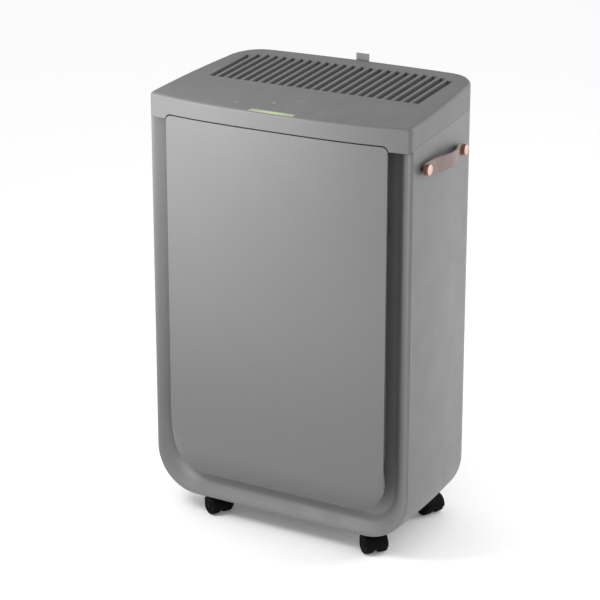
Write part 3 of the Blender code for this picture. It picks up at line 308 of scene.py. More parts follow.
class Recipe:
    """A Principled material whose colour, roughness and bump come from nodes in the object's own space."""

    def __init__(self, name, colour, roughness, metallic=0.0):
        self.name = name
        self.mat = bpy.data.materials.new(name)
        self.mat.use_nodes = True
        self.nodes = self.mat.node_tree.nodes
        self.links = self.mat.node_tree.links
        self.shader = self.nodes["Principled BSDF"]
        self.shade("Metallic", metallic)
        self.shade("Base Color", (*colour, 1.0))
        self.shade("Roughness", roughness)
        self.place = self.nodes.new("ShaderNodeTexCoord").outputs["Object"]
        self.colour = None
        self.plain = (*colour, 1.0)
        self.rough = roughness
        self.height = None
        self.mat.diffuse_color = (*colour, 1.0)

    def put(self, socket, value):
        if hasattr(value, "node"):
            self.links.new(value, socket)
        else:
            socket.default_value = value

    def shade(self, name, value):
        self.put(self.shader.inputs[name], value)

    def node(self, kind, output, inputs, **settings):
        """Adds a node, fills in its settings and inputs, and gives back one of its outputs."""
        node = self.nodes.new("ShaderNode" + kind)
        for key, value in settings.items():
            setattr(node, key, value)
        for key, value in inputs.items():
            self.put(node.inputs[key], value)
        return node.outputs[output]

    def noise(self, scale, detail):
        return self.node("TexNoise", "Fac", {"Vector": self.place, "Scale": scale, "Detail": detail})

    def cells(self, scale, feature="F1"):
        return self.node("TexVoronoi", "Distance", {"Vector": self.place, "Scale": scale}, feature=feature)

    def wave(self, scale, direction, distortion=0.0, profile="SIN"):
        inputs = {"Vector": self.place, "Scale": scale, "Distortion": distortion}
        return self.node("TexWave", "Fac", inputs, bands_direction=direction, wave_profile=profile)

    def axis(self, name):
        return self.node("SeparateXYZ", name, {"Vector": self.place})

    def remap(self, value, from_low, from_high, to_low, to_high):
        inputs = {"Value": value, "From Min": from_low, "From Max": from_high,
                  "To Min": to_low, "To Max": to_high}
        return self.node("MapRange", "Result", inputs, interpolation_type="SMOOTHSTEP")

    def math(self, operation, first, second=0.0):
        return self.node("Math", 0, {0: first, 1: second}, operation=operation)

    def tint(self, factor, colour):
        """Mixes another colour over the present one by a factor."""
        present = self.plain if self.colour is None else self.colour
        self.colour = self.node("Mix", 2, {0: factor, 6: present, 7: (*colour, 1.0)}, data_type="RGBA")

    def mottle(self, scale, amount):
        """Slow light and dark drift in the colour."""
        low = tuple(channel * (1.0 - amount) for channel in self.plain[:3])
        high = tuple(min(channel * (1.0 + amount), 1.0) for channel in self.plain[:3])
        drift = self.remap(self.noise(scale, 3.0), 0.3, 0.7, 0.0, 1.0)
        self.tint(self.math("MULTIPLY", drift, 0.5), high)
        self.tint(self.math("MULTIPLY", self.math("SUBTRACT", 1.0, drift), 0.5), low)

    def bump(self, height, strength, distance):
        inputs = {"Strength": strength, "Distance": distance, "Height": height}
        if self.height is not None:
            inputs["Normal"] = self.height
        self.height = self.node("Bump", "Normal", inputs)

    def uneven(self, scale, amount):
        """Slow drift in the gloss."""
        drift = self.remap(self.noise(scale, 3.0), 0.3, 0.7, self.rough - amount, self.rough + amount)
        self.shade("Roughness", drift)

    def done(self):
        """Joins up the shader and files the material under its name."""
        if self.colour is not None:
            self.shade("Base Color", self.colour)
        if self.height is not None:
            self.shade("Normal", self.height)
        LOOKS[self.name] = self.mat


def moulded(name, colour, roughness, grain=1500.0, depth=0.35, specular=0.5, foot=None, front=None):
    """Moulded plastic: fine spark-eroded grain and a faint flow drift in colour and gloss.

    front is a painted shade towards the casing's front; foot is a painted light low down in the channel,
    where the panel's foot shades it.
    """
    recipe = Recipe(name, colour, roughness)
    recipe.shade("Specular IOR Level", specular)
    recipe.mottle(9.0, 0.03)
    # Painted shade: darker towards the casing's front.
    if front:
        recipe.tint(recipe.remap(recipe.axis("Y"), *PAINTED_FRONT_SHADE_YS, 1.0, 0.0), front)
    # Painted light: lighter low down and deep in the channel, where the panel's foot shades it.
    if foot:
        low = recipe.remap(recipe.axis("Z"), *PAINTED_CHANNEL_LIGHT_ZS, 1.0, 0.0)
        deep = recipe.remap(recipe.axis("Y"), *PAINTED_CHANNEL_LIGHT_YS, 0.0, 1.0)
        recipe.tint(recipe.math("MULTIPLY", low, deep), foot)
    speck = recipe.remap(recipe.noise(grain * 0.8, 1.0), 0.62, 0.72, 0.0, 0.07)
    recipe.tint(speck, tuple(min(channel * 1.6 + 0.02, 1.0) for channel in colour))
    recipe.uneven(30.0, 0.04)
    recipe.bump(recipe.noise(grain, 2.0), depth, 0.00012)
    recipe.bump(recipe.noise(22.0, 1.0), 0.12, 0.0006)
    recipe.done()


def even_look(name, colour, roughness, metallic, drift, gloss, grain):
    """drift (in colour) and gloss are (scale, amount); grain is (scale, strength, depth)."""
    recipe = Recipe(name, colour, roughness, metallic)
    recipe.mottle(*drift)
    if gloss:
        recipe.uneven(*gloss)
    scale, strength, depth = grain
    recipe.bump(recipe.noise(scale, 2.0), strength, depth)
    recipe.done()


def make_plastics():
    for name, shade, roughness, extra in (
            # body_grey's front colour is a painted shade towards the casing's front.
            ("body_grey", (0.168, 0.168, 0.168), 0.46, {"front": (0.146, 0.146, 0.146)}),
            # deck_grey is a darker copy of fascia_grey for the one moulding's upward faces: painted shade.
            ("deck_grey", (0.139, 0.139, 0.140), 0.50, {"specular": 0.2}),
            ("fascia_grey", (0.179, 0.179, 0.179), 0.50, {"specular": 0.2}),
            # recess_grey's foot colour is a painted light low down in the channel.
            ("recess_grey", (0.166, 0.166, 0.166), 0.50, {"foot": (0.27, 0.27, 0.27)}),
            ("inner_black", (0.030, 0.030, 0.031), 0.55, {"grain": 900.0, "depth": 0.5}),
            ("caster_black", (0.0032, 0.0032, 0.0034), 0.60,
             {"grain": 1200.0, "depth": 0.3, "specular": 0.06}),
            ("light_grey", (0.50, 0.50, 0.495), 0.45, {})):
        moulded(name, shade, roughness, **extra)

    paint = Recipe("panel_grey", (0.164, 0.164, 0.165), 0.38)
    paint.mottle(7.0, 0.02)
    # Painted shade: the panel darker towards its foot, in two steps.
    for zs, shade in ((PAINTED_PANEL_SHADE_ZS, (0.142, 0.142, 0.143)), (PAINTED_PANEL_FOOT_SHADE_ZS, (0.112, 0.112, 0.113))):
        paint.tint(paint.remap(paint.axis("Z"), *zs, 1.0, 0.0), shade)
    flake = paint.remap(paint.noise(2600.0, 1.0), 0.60, 0.72, 0.0, 0.09)
    paint.tint(flake, (0.42, 0.42, 0.43))
    paint.uneven(25.0, 0.03)
    paint.bump(paint.noise(1800.0, 2.0), 0.18, 0.0001)
    paint.bump(paint.noise(35.0, 1.0), 0.10, 0.0005)
    paint.shade("Coat Weight", 0.12)
    paint.shade("Coat Roughness", 0.35)
    paint.done()

    smoke = Recipe("tank_smoke", (0.50, 0.53, 0.55), 0.20)
    smoke.mottle(20.0, 0.03)
    smoke.uneven(70.0, 0.05)
    smoke.bump(smoke.noise(600.0, 2.0), 0.12, 0.0001)
    smoke.shade("Transmission Weight", 0.72)
    smoke.shade("IOR", 1.49)
    smoke.done()

    lens = Recipe("green_light", (0.115, 0.150, 0.100), 0.40)
    hot = lens.remap(lens.math("ABSOLUTE", lens.axis("X")), 0.0, LENS_HALF, 1.0, 0.62)
    lens.shade("Emission Color", (0.74, 0.90, 0.44, 1.0))
    lens.shade("Emission Strength", lens.math("MULTIPLY", hot, 0.42))
    lens.mottle(300.0, 0.08)
    lens.done()


def make_metals_and_prints():
    for name, shade, roughness, metallic, drift, gloss, grain in (
            ("rose_copper", (0.575, 0.415, 0.36), 0.50, 1.0,
             (240.0, 0.07), (500.0, 0.07), (1300.0, 0.10, 0.00008)),
            # The darker copy of rose_copper below is painted shade and reflection for the stud heads' sides.
            ("stud_side_painted_shade", (0.29, 0.125, 0.105), 0.50, 0.6,
             (240.0, 0.10), (500.0, 0.08), (1300.0, 0.12, 0.00008)),
            # The near-black post colour below is painted shadow under the straps.
            ("stud_post_painted_shadow", (0.040, 0.030, 0.027), 0.55, 0.3,
             (240.0, 0.10), (500.0, 0.08), (1300.0, 0.15, 0.00008)),
            ("zinc_steel", (0.50, 0.51, 0.53), 0.36, 1.0,
             (140.0, 0.14), (220.0, 0.10), (900.0, 0.12, 0.0001)),
            ("enamel_black", (0.016, 0.016, 0.017), 0.30, 0.0,
             (50.0, 0.25), (60.0, 0.07), (260.0, 0.25, 0.0003)),
            ("icon_print", (0.26, 0.26, 0.26), 0.5, 0.0,
             (400.0, 0.1), None, (1800.0, 0.2, 0.00005))):
        even_look(name, shade, roughness, metallic, drift, gloss, grain)

    copper = Recipe("copper_pipe", (0.72, 0.36, 0.22), 0.32, 1.0)
    copper.mottle(90.0, 0.16)
    copper.tint(copper.remap(copper.noise(45.0, 4.0), 0.55, 0.75, 0.0, 0.5), (0.30, 0.15, 0.10))
    copper.uneven(160.0, 0.12)
    copper.bump(copper.noise(700.0, 2.0), 0.15, 0.0001)
    copper.done()

    fins = Recipe("aluminium_fin", (0.70, 0.71, 0.73), 0.38, 1.0)
    fins.mottle(40.0, 0.06)
    # Painted shade: dark stripes where the gaps between the fins lie.
    fin_gap_shade = fins.remap(fins.wave(157.0, "X"), 0.25, 0.75, 1.0, 0.0)
    fins.tint(fins.math("MULTIPLY", fin_gap_shade, 0.85), (0.10, 0.10, 0.11))
    fins.bump(fins.wave(157.0, "X"), 0.8, 0.0008)
    fins.uneven(120.0, 0.08)
    fins.done()


def make_leather_net_and_board():
    hide = Recipe("tan_leather", (0.206, 0.143, 0.128), 0.58)
    hide.mottle(60.0, 0.16)
    pores = hide.remap(hide.cells(1500.0), 0.0, 0.42, 0.0, 1.0)
    creases = hide.remap(hide.cells(820.0, "DISTANCE_TO_EDGE"), 0.0, 0.10, 0.0, 1.0)
    hide.tint(hide.math("MULTIPLY", hide.math("SUBTRACT", 1.0, creases), 0.35), (0.150, 0.090, 0.075))
    hide.tint(hide.math("MULTIPLY", hide.math("SUBTRACT", 1.0, pores), 0.20), (0.120, 0.075, 0.062))
    off_middle = hide.math("ABSOLUTE", hide.math("SUBTRACT", hide.axis("Z"), STUD_Z))
    rim = hide.remap(off_middle, STRAP_WIDTH / 2 - 0.0016, STRAP_WIDTH / 2 - 0.0004, 0.0, 0.75)
    hide.tint(rim, (0.105, 0.052, 0.044))
    hide.uneven(240.0, 0.09)
    hide.bump(creases, 0.55, 0.00016)
    hide.bump(pores, 0.25, 0.00008)
    hide.bump(hide.noise(180.0, 3.0), 0.25, 0.0003)
    hide.shade("Sheen Weight", 0.15)
    hide.done()

    net = Recipe("mesh_black", (0.035, 0.035, 0.036), 0.6)
    net.mottle(60.0, 0.2)
    net.bump(net.noise(2200.0, 1.0), 0.3, 0.0001)
    net.done()

    board = Recipe("board_green", (0.020, 0.130, 0.055), 0.34)
    board.mottle(70.0, 0.1)
    tracks = board.remap(board.wave(120.0, "DIAGONAL", 3.0, "SAW"), 0.44, 0.5, 0.0, 0.35)
    board.tint(tracks, (0.055, 0.24, 0.10))
    board.tint(board.remap(board.cells(260.0), 0.12, 0.16, 0.85, 0.0), (0.55, 0.52, 0.42))
    board.bump(board.noise(500.0, 2.0), 0.2, 0.0001)
    board.done()


# ---------------- mesh tools
def from_bmesh(name, bm, look, outward=None):
    """A mesh object; with outward, it is an open sheet whose faces are to look that way."""
    bmesh.ops.recalc_face_normals(bm, faces=bm.faces)
    if outward:
        bm.normal_update()
        aim = sum((face.normal * face.calc_area() for face in bm.faces), Vector()).dot(Vector(outward))
        if aim < 0:
            bmesh.ops.reverse_faces(bm, faces=bm.faces)
    mesh = bpy.data.meshes.new(name)
    bm.to_mesh(mesh)
    bm.free()
    body = bpy.data.objects.new(name, mesh)
    bpy.context.scene.collection.objects.link(body)
    if look:
        mesh.materials.append(LOOKS[look])
    return body


def modifier(body, kind, name, **values):
    step = body.modifiers.new(name, kind)
    for key, value in values.items():
        setattr(step, key, value)


def rounded(body, width, segments=3, angle=35.0):
    """Rounds the sharp edges of a mesh and evens out its shading."""
    modifier(body, "BEVEL", "edge_rounding", width=width, segments=segments, limit_method="ANGLE",
             angle_limit=math.radians(angle), miter_outer="MITER_ARC")
    body.data.polygons.foreach_set("use_smooth", [True] * len(body.data.polygons))
    modifier(body, "WEIGHTED_NORMAL", "even_shading", keep_sharp=True, weight=80)
    return body


def frozen(body):
    """Applies every modifier of a piece."""
    graph = bpy.context.evaluated_depsgraph_get()
    graph.update()
    mesh = bpy.data.meshes.new_from_object(body.evaluated_get(graph))
    body.modifiers.clear()
    body.data = mesh


def smooth_by_angle(body, angle):
    """Smooth shading but for the edges sharper than an angle."""
    bm = bmesh.new()
    bm.from_mesh(body.data)
    for edge in bm.edges:
        if len(edge.link_faces) == 2:
            edge.smooth = edge.calc_face_angle(0.0) < math.radians(angle)
    for face in bm.faces:
        face.smooth = True
    bm.to_mesh(body.data)
    bm.free()
    return body


def add_rows(bm, rows, closed=True):
    """Faces between rows of points; gives back the rows of vertices."""
    rows = [[bm.verts.new(point) for point in row] for row in rows]
    count = len(rows[0])
    for below, above in zip(rows, rows[1:]):
        for k in range(count if closed else count - 1):
            j = (k + 1) % count
            bm.faces.new((below[k], below[j], above[j], above[k]))
    return rows


def add_loft(bm, rings):
    """A closed solid through rings of equal point counts."""
    rings = add_rows(bm, rings)
    bm.faces.new(rings[0])
    bm.faces.new(rings[-1])


def loft(name, rings, look):
    bm = bmesh.new()
    add_loft(bm, rings)
    return from_bmesh(name, bm, look)


def grid(name, rows, look, outward, closed=False, fill=False):
    """An open sheet through rows of points."""
    bm = bmesh.new()
    rows = add_rows(bm, rows, closed)
    if fill:
        bm.faces.new(rows[-1])
    return from_bmesh(name, bm, look, outward)


def thickened(body, wall):
    """Gives a sheet its wall, on the side away from its faces."""
    modifier(body, "SOLIDIFY", "wall", thickness=wall, offset=-1.0, use_even_offset=True)
    frozen(body)


def facing(place, axis):
    """The frame whose Z runs along axis, with its origin at place."""
    turn = Vector((0.0, 0.0, 1.0)).rotation_difference(Vector(axis)).to_matrix().to_4x4()
    return Matrix.Translation(Vector(place)) @ turn


def lathe(name, profile, look, place, axis, steps):
    """A turned solid from (radius, length) pairs; its axis starts at place and runs along axis."""
    bm = bmesh.new()
    place = facing(place, axis)
    rings = []
    for radius, length in profile:
        if radius < 1e-6:
            rings.append([bm.verts.new(place @ Vector((0.0, 0.0, length)))])
            continue
        ring = []
        for k in range(steps):
            angle = 2 * math.pi * k / steps
            spot = Vector((radius * math.cos(angle), radius * math.sin(angle), length))
            ring.append(bm.verts.new(place @ spot))
        rings.append(ring)
    for below, above in zip(rings, rings[1:]):
        for k in range(steps):
            quad = [below[k % len(below)], below[(k + 1) % len(below)], above[(k + 1) % len(above)],
                    above[k % len(above)]]
            quad = [vert for j, vert in enumerate(quad) if vert not in quad[:j]]
            if len(quad) > 2:
                bm.faces.new(quad)
    return from_bmesh(name, bm, look)


def add_box(bm, low, high):
    low, high = Vector(low), Vector(high)
    for vert in bmesh.ops.create_cube(bm, size=1.0)["verts"]:
        vert.co = (low + high) / 2 + Vector([vert.co[k] * (high - low)[k] for k in range(3)])


def boxes(name, spans, look):
    bm = bmesh.new()
    for span in spans:
        add_box(bm, *span)
    return from_bmesh(name, bm, look)


def extruded(name, outline, low, high, axis, look):
    def point(pair, level):
        u, v = pair
        return {"X": (level, u, v), "Y": (u, level, v), "Z": (u, v, level)}[axis]
    return loft(name, [[point(pair, level) for pair in outline] for level in (low, high)], look)


def cut(body, tool, operation="DIFFERENCE"):
    """Boolean with a tool that is thrown away."""
    modifier(body, "BOOLEAN", "cut", operation=operation, solver="EXACT", object=tool)
    frozen(body)
    bpy.data.objects.remove(tool)


def shrink(outline, distance):
    """An outline drawn in by a distance, or by one distance for every point."""
    count = len(outline)
    moved = []
    for k in range(count):
        before, here, after = (Vector(outline[(k + j) % count]) for j in (-1, 0, 1))
        into = (here - before).normalized()
        out = (after - here).normalized()
        normal = Vector((-into.y - out.y, into.x + out.x)).normalized()
        lean = max(normal.dot(Vector((-into.y, into.x))), 0.5)
        step = distance[k] if isinstance(distance, (list, tuple)) else distance
        moved.append(here + normal * (step / lean))
    return moved


def even(first, last, steps):
    return [first + (last - first) * k / steps for k in range(steps + 1)]


def arc(centre, radius, first, last, steps):
    """Points on a circle, between two angles in degrees."""
    turns = [math.radians(angle) for angle in even(first, last, steps)]
    return [(centre[0] + radius * math.cos(turn), centre[1] + radius * math.sin(turn)) for turn in turns]


def spline(points, steps):
    """Catmull-Rom curve through points, with that many steps to a span."""
    points = [Vector(point) for point in points]
    line = []
    for k in range(len(points) - 1):
        a = points[max(k - 1, 0)]
        b, c = points[k], points[k + 1]
        d = points[min(k + 2, len(points) - 1)]
        for step in range(steps):
            t = step / steps
            line.append(0.5 * (2 * b + (c - a) * t + (2 * a - 5 * b + 4 * c - d) * t ** 2
                               + (3 * b - a - 3 * c + d) * t ** 3))
    line.append(points[-1])
    return line


def both_sides(half):
    """Levels from minus to plus, from those between zero and plus."""
    return [-x for x in reversed(half[1:])] + half


def mirrored(half):
    """The whole outline from its half at positive x."""
    return half + [(-x, y) for x, y in reversed(half) if x > 1e-6]


# ---------------- shared outlines
def side_half(y):
    share = max(y - CASE_FRONT, 0.0) / (CASE_BACK - CASE_FRONT)
    return HALF_WIDTH - SIDE_TAPER * share ** 2


def deck_z(y):
    return DECK_FRONT_Z + DECK_SLOPE * (y - CASE_FRONT)


def seam_z(y):
    reach = max(y - CASE_FRONT, 0.0)
    return LOBE_Z + SEAM_STEP * (1.0 - math.exp(-reach / SEAM_EASE)) + SEAM_RISE * reach


def fascia_y(x):
    return FASCIA_Y + FASCIA_BOW * abs(x / HALF_WIDTH) ** 3


def back_y(x):
    return CASE_BACK + BACK_BOW * (1.0 - (x / HALF_WIDTH) ** 2)


CORNER_START_Y = CASE_BACK - BACK_CORNER
CORNER_CENTRE_X = side_half(CORNER_START_Y) - BACK_CORNER
CORNER_ANGLES = [math.radians(6.5 * k) for k in range(1, 13)]


def back_corner(angle):
    x = CORNER_CENTRE_X + BACK_CORNER * math.cos(angle)
    y = CORNER_START_Y + BACK_CORNER * math.sin(angle)
    return x, y + (back_y(x) - CASE_BACK) * math.sin(angle), y


def cover_outline():
    """The top cover seen from above."""
    turn = CASE_FRONT + 0.0039
    half = [(x, fascia_y(x)) for x in even(0.0, HALF_WIDTH - COVER_CORNER, 26)]
    start = half[-1]
    for k in range(1, 9):
        angle = math.radians(11.25 * k)
        half.append((start[0] + COVER_CORNER * math.sin(angle), turn + (start[1] - turn) * math.cos(angle)))
    half += [(side_half(y), y) for y in even(-0.080, CORNER_START_Y, 10)]
    half += [back_corner(angle)[:2] for angle in CORNER_ANGLES]
    half += [(x, back_y(x)) for x in even(CORNER_CENTRE_X, 0.0, 10)]
    return mirrored(half)


def deck_edge(x, y):
    if y > CASE_FRONT + 0.006:
        return DECK_EDGE
    share = min(max((abs(x) - EDGE_EASE_X) / (HALF_WIDTH - EDGE_EASE_X), 0.0), 1.0)
    return FASCIA_EDGE + (DECK_EDGE - FASCIA_EDGE) * share ** 2


def hull_loop(half, low, top, radius, steps=22):
    """A U from one top rim round the bottom to the other, as (x, z) points."""
    low_z = low + radius
    left = [(-half, top)] + [(-half, top + (low_z - top) * share) for share in (0.25, 0.5, 0.75)]
    for k in range(steps + 1):
        angle = math.pi / 2 * k / steps
        left.append((-(half - radius) - radius * math.cos(angle), low_z - radius * math.sin(angle)))
    return left + [(-x, z) for x, z in reversed(left)]


# ---------------- shell
def make_casing():
    """The wrap: sides and bottom in one smooth shell with softly rounded rims."""
    stations = [(side_half(y), y, y) for y in (CASE_FRONT + 0.0030, CASE_FRONT + 0.006, CASE_FRONT + 0.010,
                                               CASE_FRONT + 0.015, CASE_FRONT + 0.022)]
    stations += [(side_half(y), y, y) for y in even(-0.066, CORNER_START_Y, 11)]
    stations += [back_corner(angle) for angle in CORNER_ANGLES]
    rows = []
    for half, y, level_y in stations:
        dip = max(level_y - (CASE_BACK - BACK_HEM), 0.0)
        low = FLOOR_GAP + BACK_HEM - math.sqrt(BACK_HEM ** 2 - dip ** 2)
        loop = hull_loop(half, low, seam_z(y) - SEAM_GAP * CASE_SEAM_SHARE, BOTTOM_CORNER)
        rows.append([(x, y, z) for x, z in loop])
    casing = grid("shell_casing", rows, "body_grey", (0.0, 0.0, -1.0))
    thickened(casing, WALL)
    rounded(casing, 0.0005, 3, 50.0)
    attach(casing, "housing")
    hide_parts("casing")


def make_front_frame():
    """The tray behind the panel: rounded rim, scooped channel and flat bottom with its clip windows."""
    smooth = [RIM_PROFILE[0]] + [tuple(point) for point in spline(RIM_PROFILE[1:], 4)]
    loops = []
    for inset, depth in smooth:
        top = RECESS_TOP + 0.0005
        loop = hull_loop(HALF_WIDTH - inset, FLOOR_GAP + inset, top, BOTTOM_CORNER - inset)
        loops.append([(x, CASE_FRONT + depth, z) for x, z in loop])
    tray = grid("shell_front_frame", loops, "recess_grey", (0.0, -1.0, 0.3), closed=True, fill=True)
    thickened(tray, TRAY_WALL)
    wide, high = CLIP_WINDOW_HALF
    spans = []
    for z in CLIP_WINDOW_ZS:
        for x in (-CLIP_WINDOW_X, CLIP_WINDOW_X):
            spans.append(((x - wide, RECESS_Y - 0.01, z - high),
                          (x + wide, RECESS_Y + CLIP_WINDOW_DEPTH, z + high)))
    cut(tray, boxes("clip_windows", spans, None))
    rounded(tray, 0.0004, 2, 50.0)
    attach(tray, "housing")
    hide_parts("front_frame")


def panel_y(x, z, low=PANEL_BOTTOM):
    share = (z - PANEL_BOTTOM) / (PANEL_TOP - PANEL_BOTTOM)
    past = max(low + PANEL_CURL - z, 0.0)
    curl = PANEL_CURL_RADIUS - math.sqrt(PANEL_CURL_RADIUS ** 2 - past ** 2)
    return PANEL_FOOT_Y + (fascia_y(x) - PANEL_FOOT_Y) * share + curl


def make_front_panel():
    """The floating panel with its bowed top, curled foot and softly rounded edge."""
    half = even(0.0, PANEL_HALF - PANEL_FOOT_CORNER, 10)
    half += [PANEL_HALF - PANEL_FOOT_CORNER * (1.0 - math.sin(math.radians(angle)))
             for angle in even(6, 84, 13)]
    half += [PANEL_HALF - PANEL_TOP_CORNER * share for share in (0.12, 0.04, 0.0)]
    half = sorted(set(round(x, 6) for x in half))
    columns = both_sides(half)
    shares = even(0.0, 0.075, 15)[:-1] + even(0.075, 0.95, 18) + [0.97, 0.985, 0.994, 1.0]
    rows = []
    for share in shares:
        row = []
        for x in columns:
            past_foot = max(abs(x) - (PANEL_HALF - PANEL_FOOT_CORNER), 0.0)
            past_top = max(abs(x) - (PANEL_HALF - PANEL_TOP_CORNER), 0.0)
            lift = math.sqrt(max(PANEL_FOOT_CORNER ** 2 - past_foot ** 2, 0))
            low = PANEL_BOTTOM + PANEL_FOOT_CORNER - lift
            high = PANEL_TOP - PANEL_TOP_CORNER + math.sqrt(max(PANEL_TOP_CORNER ** 2 - past_top ** 2, 0))
            z = low + (high - low) * share
            row.append((x, panel_y(x, z, low), z))
        rows.append(row)
    panel = grid("shell_front_panel", rows, "panel_grey", (0.0, -1.0, 0.3))
    thickened(panel, PANEL_WALL)
    rounded(panel, 0.0009, 4, 50.0)
    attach(panel, "housing")
    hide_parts("front_panel")


def make_top_cover():
    """Deck, bowed fascia and skirt in one moulding, with the ribbed outlet field."""
    outline = cover_outline()
    edges = [deck_edge(x, y) for x, y in outline]
    rings = [[(x, y, COVER_FOOT_Z) for x, y in outline]]
    for turn in map(math.radians, even(0.0, 90.0, 6)):
        inner = shrink(outline, [edge * (1.0 - math.cos(turn)) for edge in edges])
        rings.append([(x, y, deck_z(y) - edge * (1.0 - math.sin(turn)))
                      for (x, y), edge in zip(inner, edges)])
    cover = loft("shell_top_cover", rings, "fascia_grey")

    hollow = shrink(outline, COVER_WALL)
    foot = [(x, y, COVER_FOOT_Z - 0.01) for x, y in hollow]
    roof = [(x, y, deck_z(y) - COVER_WALL) for x, y in hollow]
    cut(cover, loft("cover_hollow", [foot, roof], None))

    ys = [-0.13] + even(CASE_FRONT, CASE_FRONT + 0.04, 12) + even(-0.04, 0.105, 12)
    below = [(y, seam_z(y)) for y in ys] + [(ys[-1], BELOW_COVER_Z), (ys[0], BELOW_COVER_Z)]
    cut(cover, extruded("cover_seam", below, -0.25, 0.25, "X", None))

    reach = PANEL_HALF + PANEL_GAP
    turns = [math.radians(7.5 * k) for k in range(13)]
    right = [(reach, BELOW_COVER_Z)]
    right += [(reach - NOTCH_RADIUS * (1 - math.cos(turn)), NOTCH_Z - NOTCH_RADIUS * (1 - math.sin(turn)))
              for turn in turns]
    notch = right + [(-x, z) for x, z in reversed(right)]
    cut(cover, extruded("cover_notch", notch, -0.13, -0.09, "Y", None))

    reach = SLOT_SPAN / 2 + SLOT_WIDTH / 2
    near, far = SLOT_FRONT - FIELD_FRONT_MARGIN, SLOT_BACK + FIELD_BACK_MARGIN
    field = [(near, deck_z(near) - RIB_DEPTH), (far, deck_z(far) - RIB_DEPTH),
             (far, deck_z(far) - FIELD_TOP_GAP), (near, deck_z(near) - FIELD_TOP_GAP)]
    side = reach + FIELD_SIDE_MARGIN
    cut(cover, extruded("rib_field", field, -side, side, "X", None), "UNION")
    pitch = SLOT_SPAN / (SLOT_COUNT - 1)
    spans = []
    for k in range(SLOT_COUNT):
        x = -SLOT_SPAN / 2 + pitch * k
        rank = min(k, SLOT_COUNT - 1 - k)
        short = SLOT_END_CUT[rank] if rank < len(SLOT_END_CUT) else 0.0
        spans.append(((x - SLOT_WIDTH / 2, SLOT_FRONT, 0.5), (x + SLOT_WIDTH / 2, SLOT_BACK - short, 0.6)))
    cut(cover, boxes("outlet_slots", spans, None))

    y, z = lens_arc(POCKET_START)
    end = FASCIA_Y + LENS_DEEP + LENS_PLAY
    top = deck_z(FASCIA_Y)
    pocket = [(y, z), (y - 0.004, z + 0.004), (end, top + 0.02), (end, top - 0.0015),
              (FASCIA_Y + 0.0024, top - 0.0022)]
    cut(cover, extruded("lens_pocket", pocket, -LENS_HALF - LENS_PLAY, LENS_HALF + LENS_PLAY, "X", None))

    # Painted shade: upward faces, the upper part of the front rounding and the outlet slots' walls take the
    # darker deck_grey.
    cover.data.materials.append(LOOKS["deck_grey"])
    for face in cover.data.polygons:
        inside = face.center.z < deck_z(face.center.y) - 0.0012 and face.center.y > SLOT_FRONT - 0.003
        at_side = abs(face.center.x) > EDGE_EASE_X and face.center.y > CASE_FRONT
        flat = face.normal.z > (0.90 if at_side else 0.45)
        if flat or (inside and abs(face.center.x) < reach + 0.004 and face.center.y < SLOT_BACK + 0.004):
            face.material_index = 1
    rounded(cover, 0.0008, 3, 38.0)
    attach(cover, "housing")
    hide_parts("top_cover")


def make_vanes():
    """Grey guide vanes that run across under the outlet ribs."""
    bm = bmesh.new()
    pitch = (SLOT_BACK - SLOT_FRONT) / VANE_COUNT
    for k in range(VANE_COUNT):
        y_foot = SLOT_FRONT + pitch * (k + 0.15)
        section = []
        for share in even(0.0, 1.0, 6):
            y = y_foot + pitch * 0.95 * share
            section.append((y, deck_z(y) - RIB_DEPTH - 0.0008 - VANE_DROP * (1.0 - share) ** 1.6))
        section += [(y - 0.0003, z - VANE_THICK) for y, z in reversed(section)]
        add_loft(bm, [[(x, y, z) for y, z in section] for x in (-VANE_REACH, VANE_REACH)])
    vanes = smooth_by_angle(from_bmesh("outlet_vanes", bm, "body_grey"), 50.0)
    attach(vanes, "housing")


def make_rear_cover():
    """The back wall inside the wrap."""
    half_width = back_corner(math.radians(78.0))[0] - 0.0010
    low = FLOOR_GAP + REAR_FOOT
    radius = BOTTOM_CORNER - 0.0008
    middle = half_width - radius
    half = even(0.0, middle, 10)[:-1]
    half += [middle + radius * math.sin(math.radians(angle)) for angle in even(0, 90, 14)]
    columns = both_sides(half)
    rows = []
    for share in even(0.0, 1.0, 6):
        row = []
        for x in columns:
            past = max(abs(x) - middle, 0.0)
            foot = low + radius - math.sqrt(max(radius ** 2 - past ** 2, 0.0))
            z = foot + (seam_z(back_y(x)) - SEAM_GAP - foot) * share
            row.append((x, back_y(x), z))
        rows.append(row)
    cover = grid("shell_rear_cover", rows, "body_grey", (0.0, 1.0, 0.3))
    thickened(cover, REAR_WALL)
    cut(cover, boxes("rear_openings", REAR_OPENINGS, None))
    for x, z, radius in REAR_HOLES:
        hole = [(0, 0), (radius, 0), (radius, 0.04), (0, 0.04)]
        cut(cover, lathe("rear_hole", hole, None, (x, 0.076, z), (0, 1, 0), 32))
    rounded(cover, 0.0004, 2, 50.0)
    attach(cover, "housing")
    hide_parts("rear_cover")


def make_grille():
    """The CAD guard with eased edges, and a slanted, rolled louvre in every opening."""
    guard = frame["nodes"]["rear_grille"]
    rounded(guard, 0.0005, 2, 35.0)
    out, down = LOUVRE_LEAN
    section = []
    for share in even(0.0, 1.0, 8):
        roll = LOUVRE_ROLL * math.sin(math.pi * share)
        section.append((LOUVRE_Y + out * share, LOUVRE_TOP - down * share + roll))
    section += [(y + 0.0004, z - 0.0012) for y, z in reversed(section)]
    bm = bmesh.new()
    for row in range(GRILLE_ROWS):
        z_foot = GRILLE_FIRST_Z + GRILLE_PITCH * row
        for span in LOUVRE_SPANS:
            add_loft(bm, [[(x, y, z_foot + z) for y, z in section] for x in span])
    blades = from_bmesh("grille_louvres", bm, "body_grey")
    rounded(blades, 0.0002, 2, 50.0)
    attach(blades, "housing")


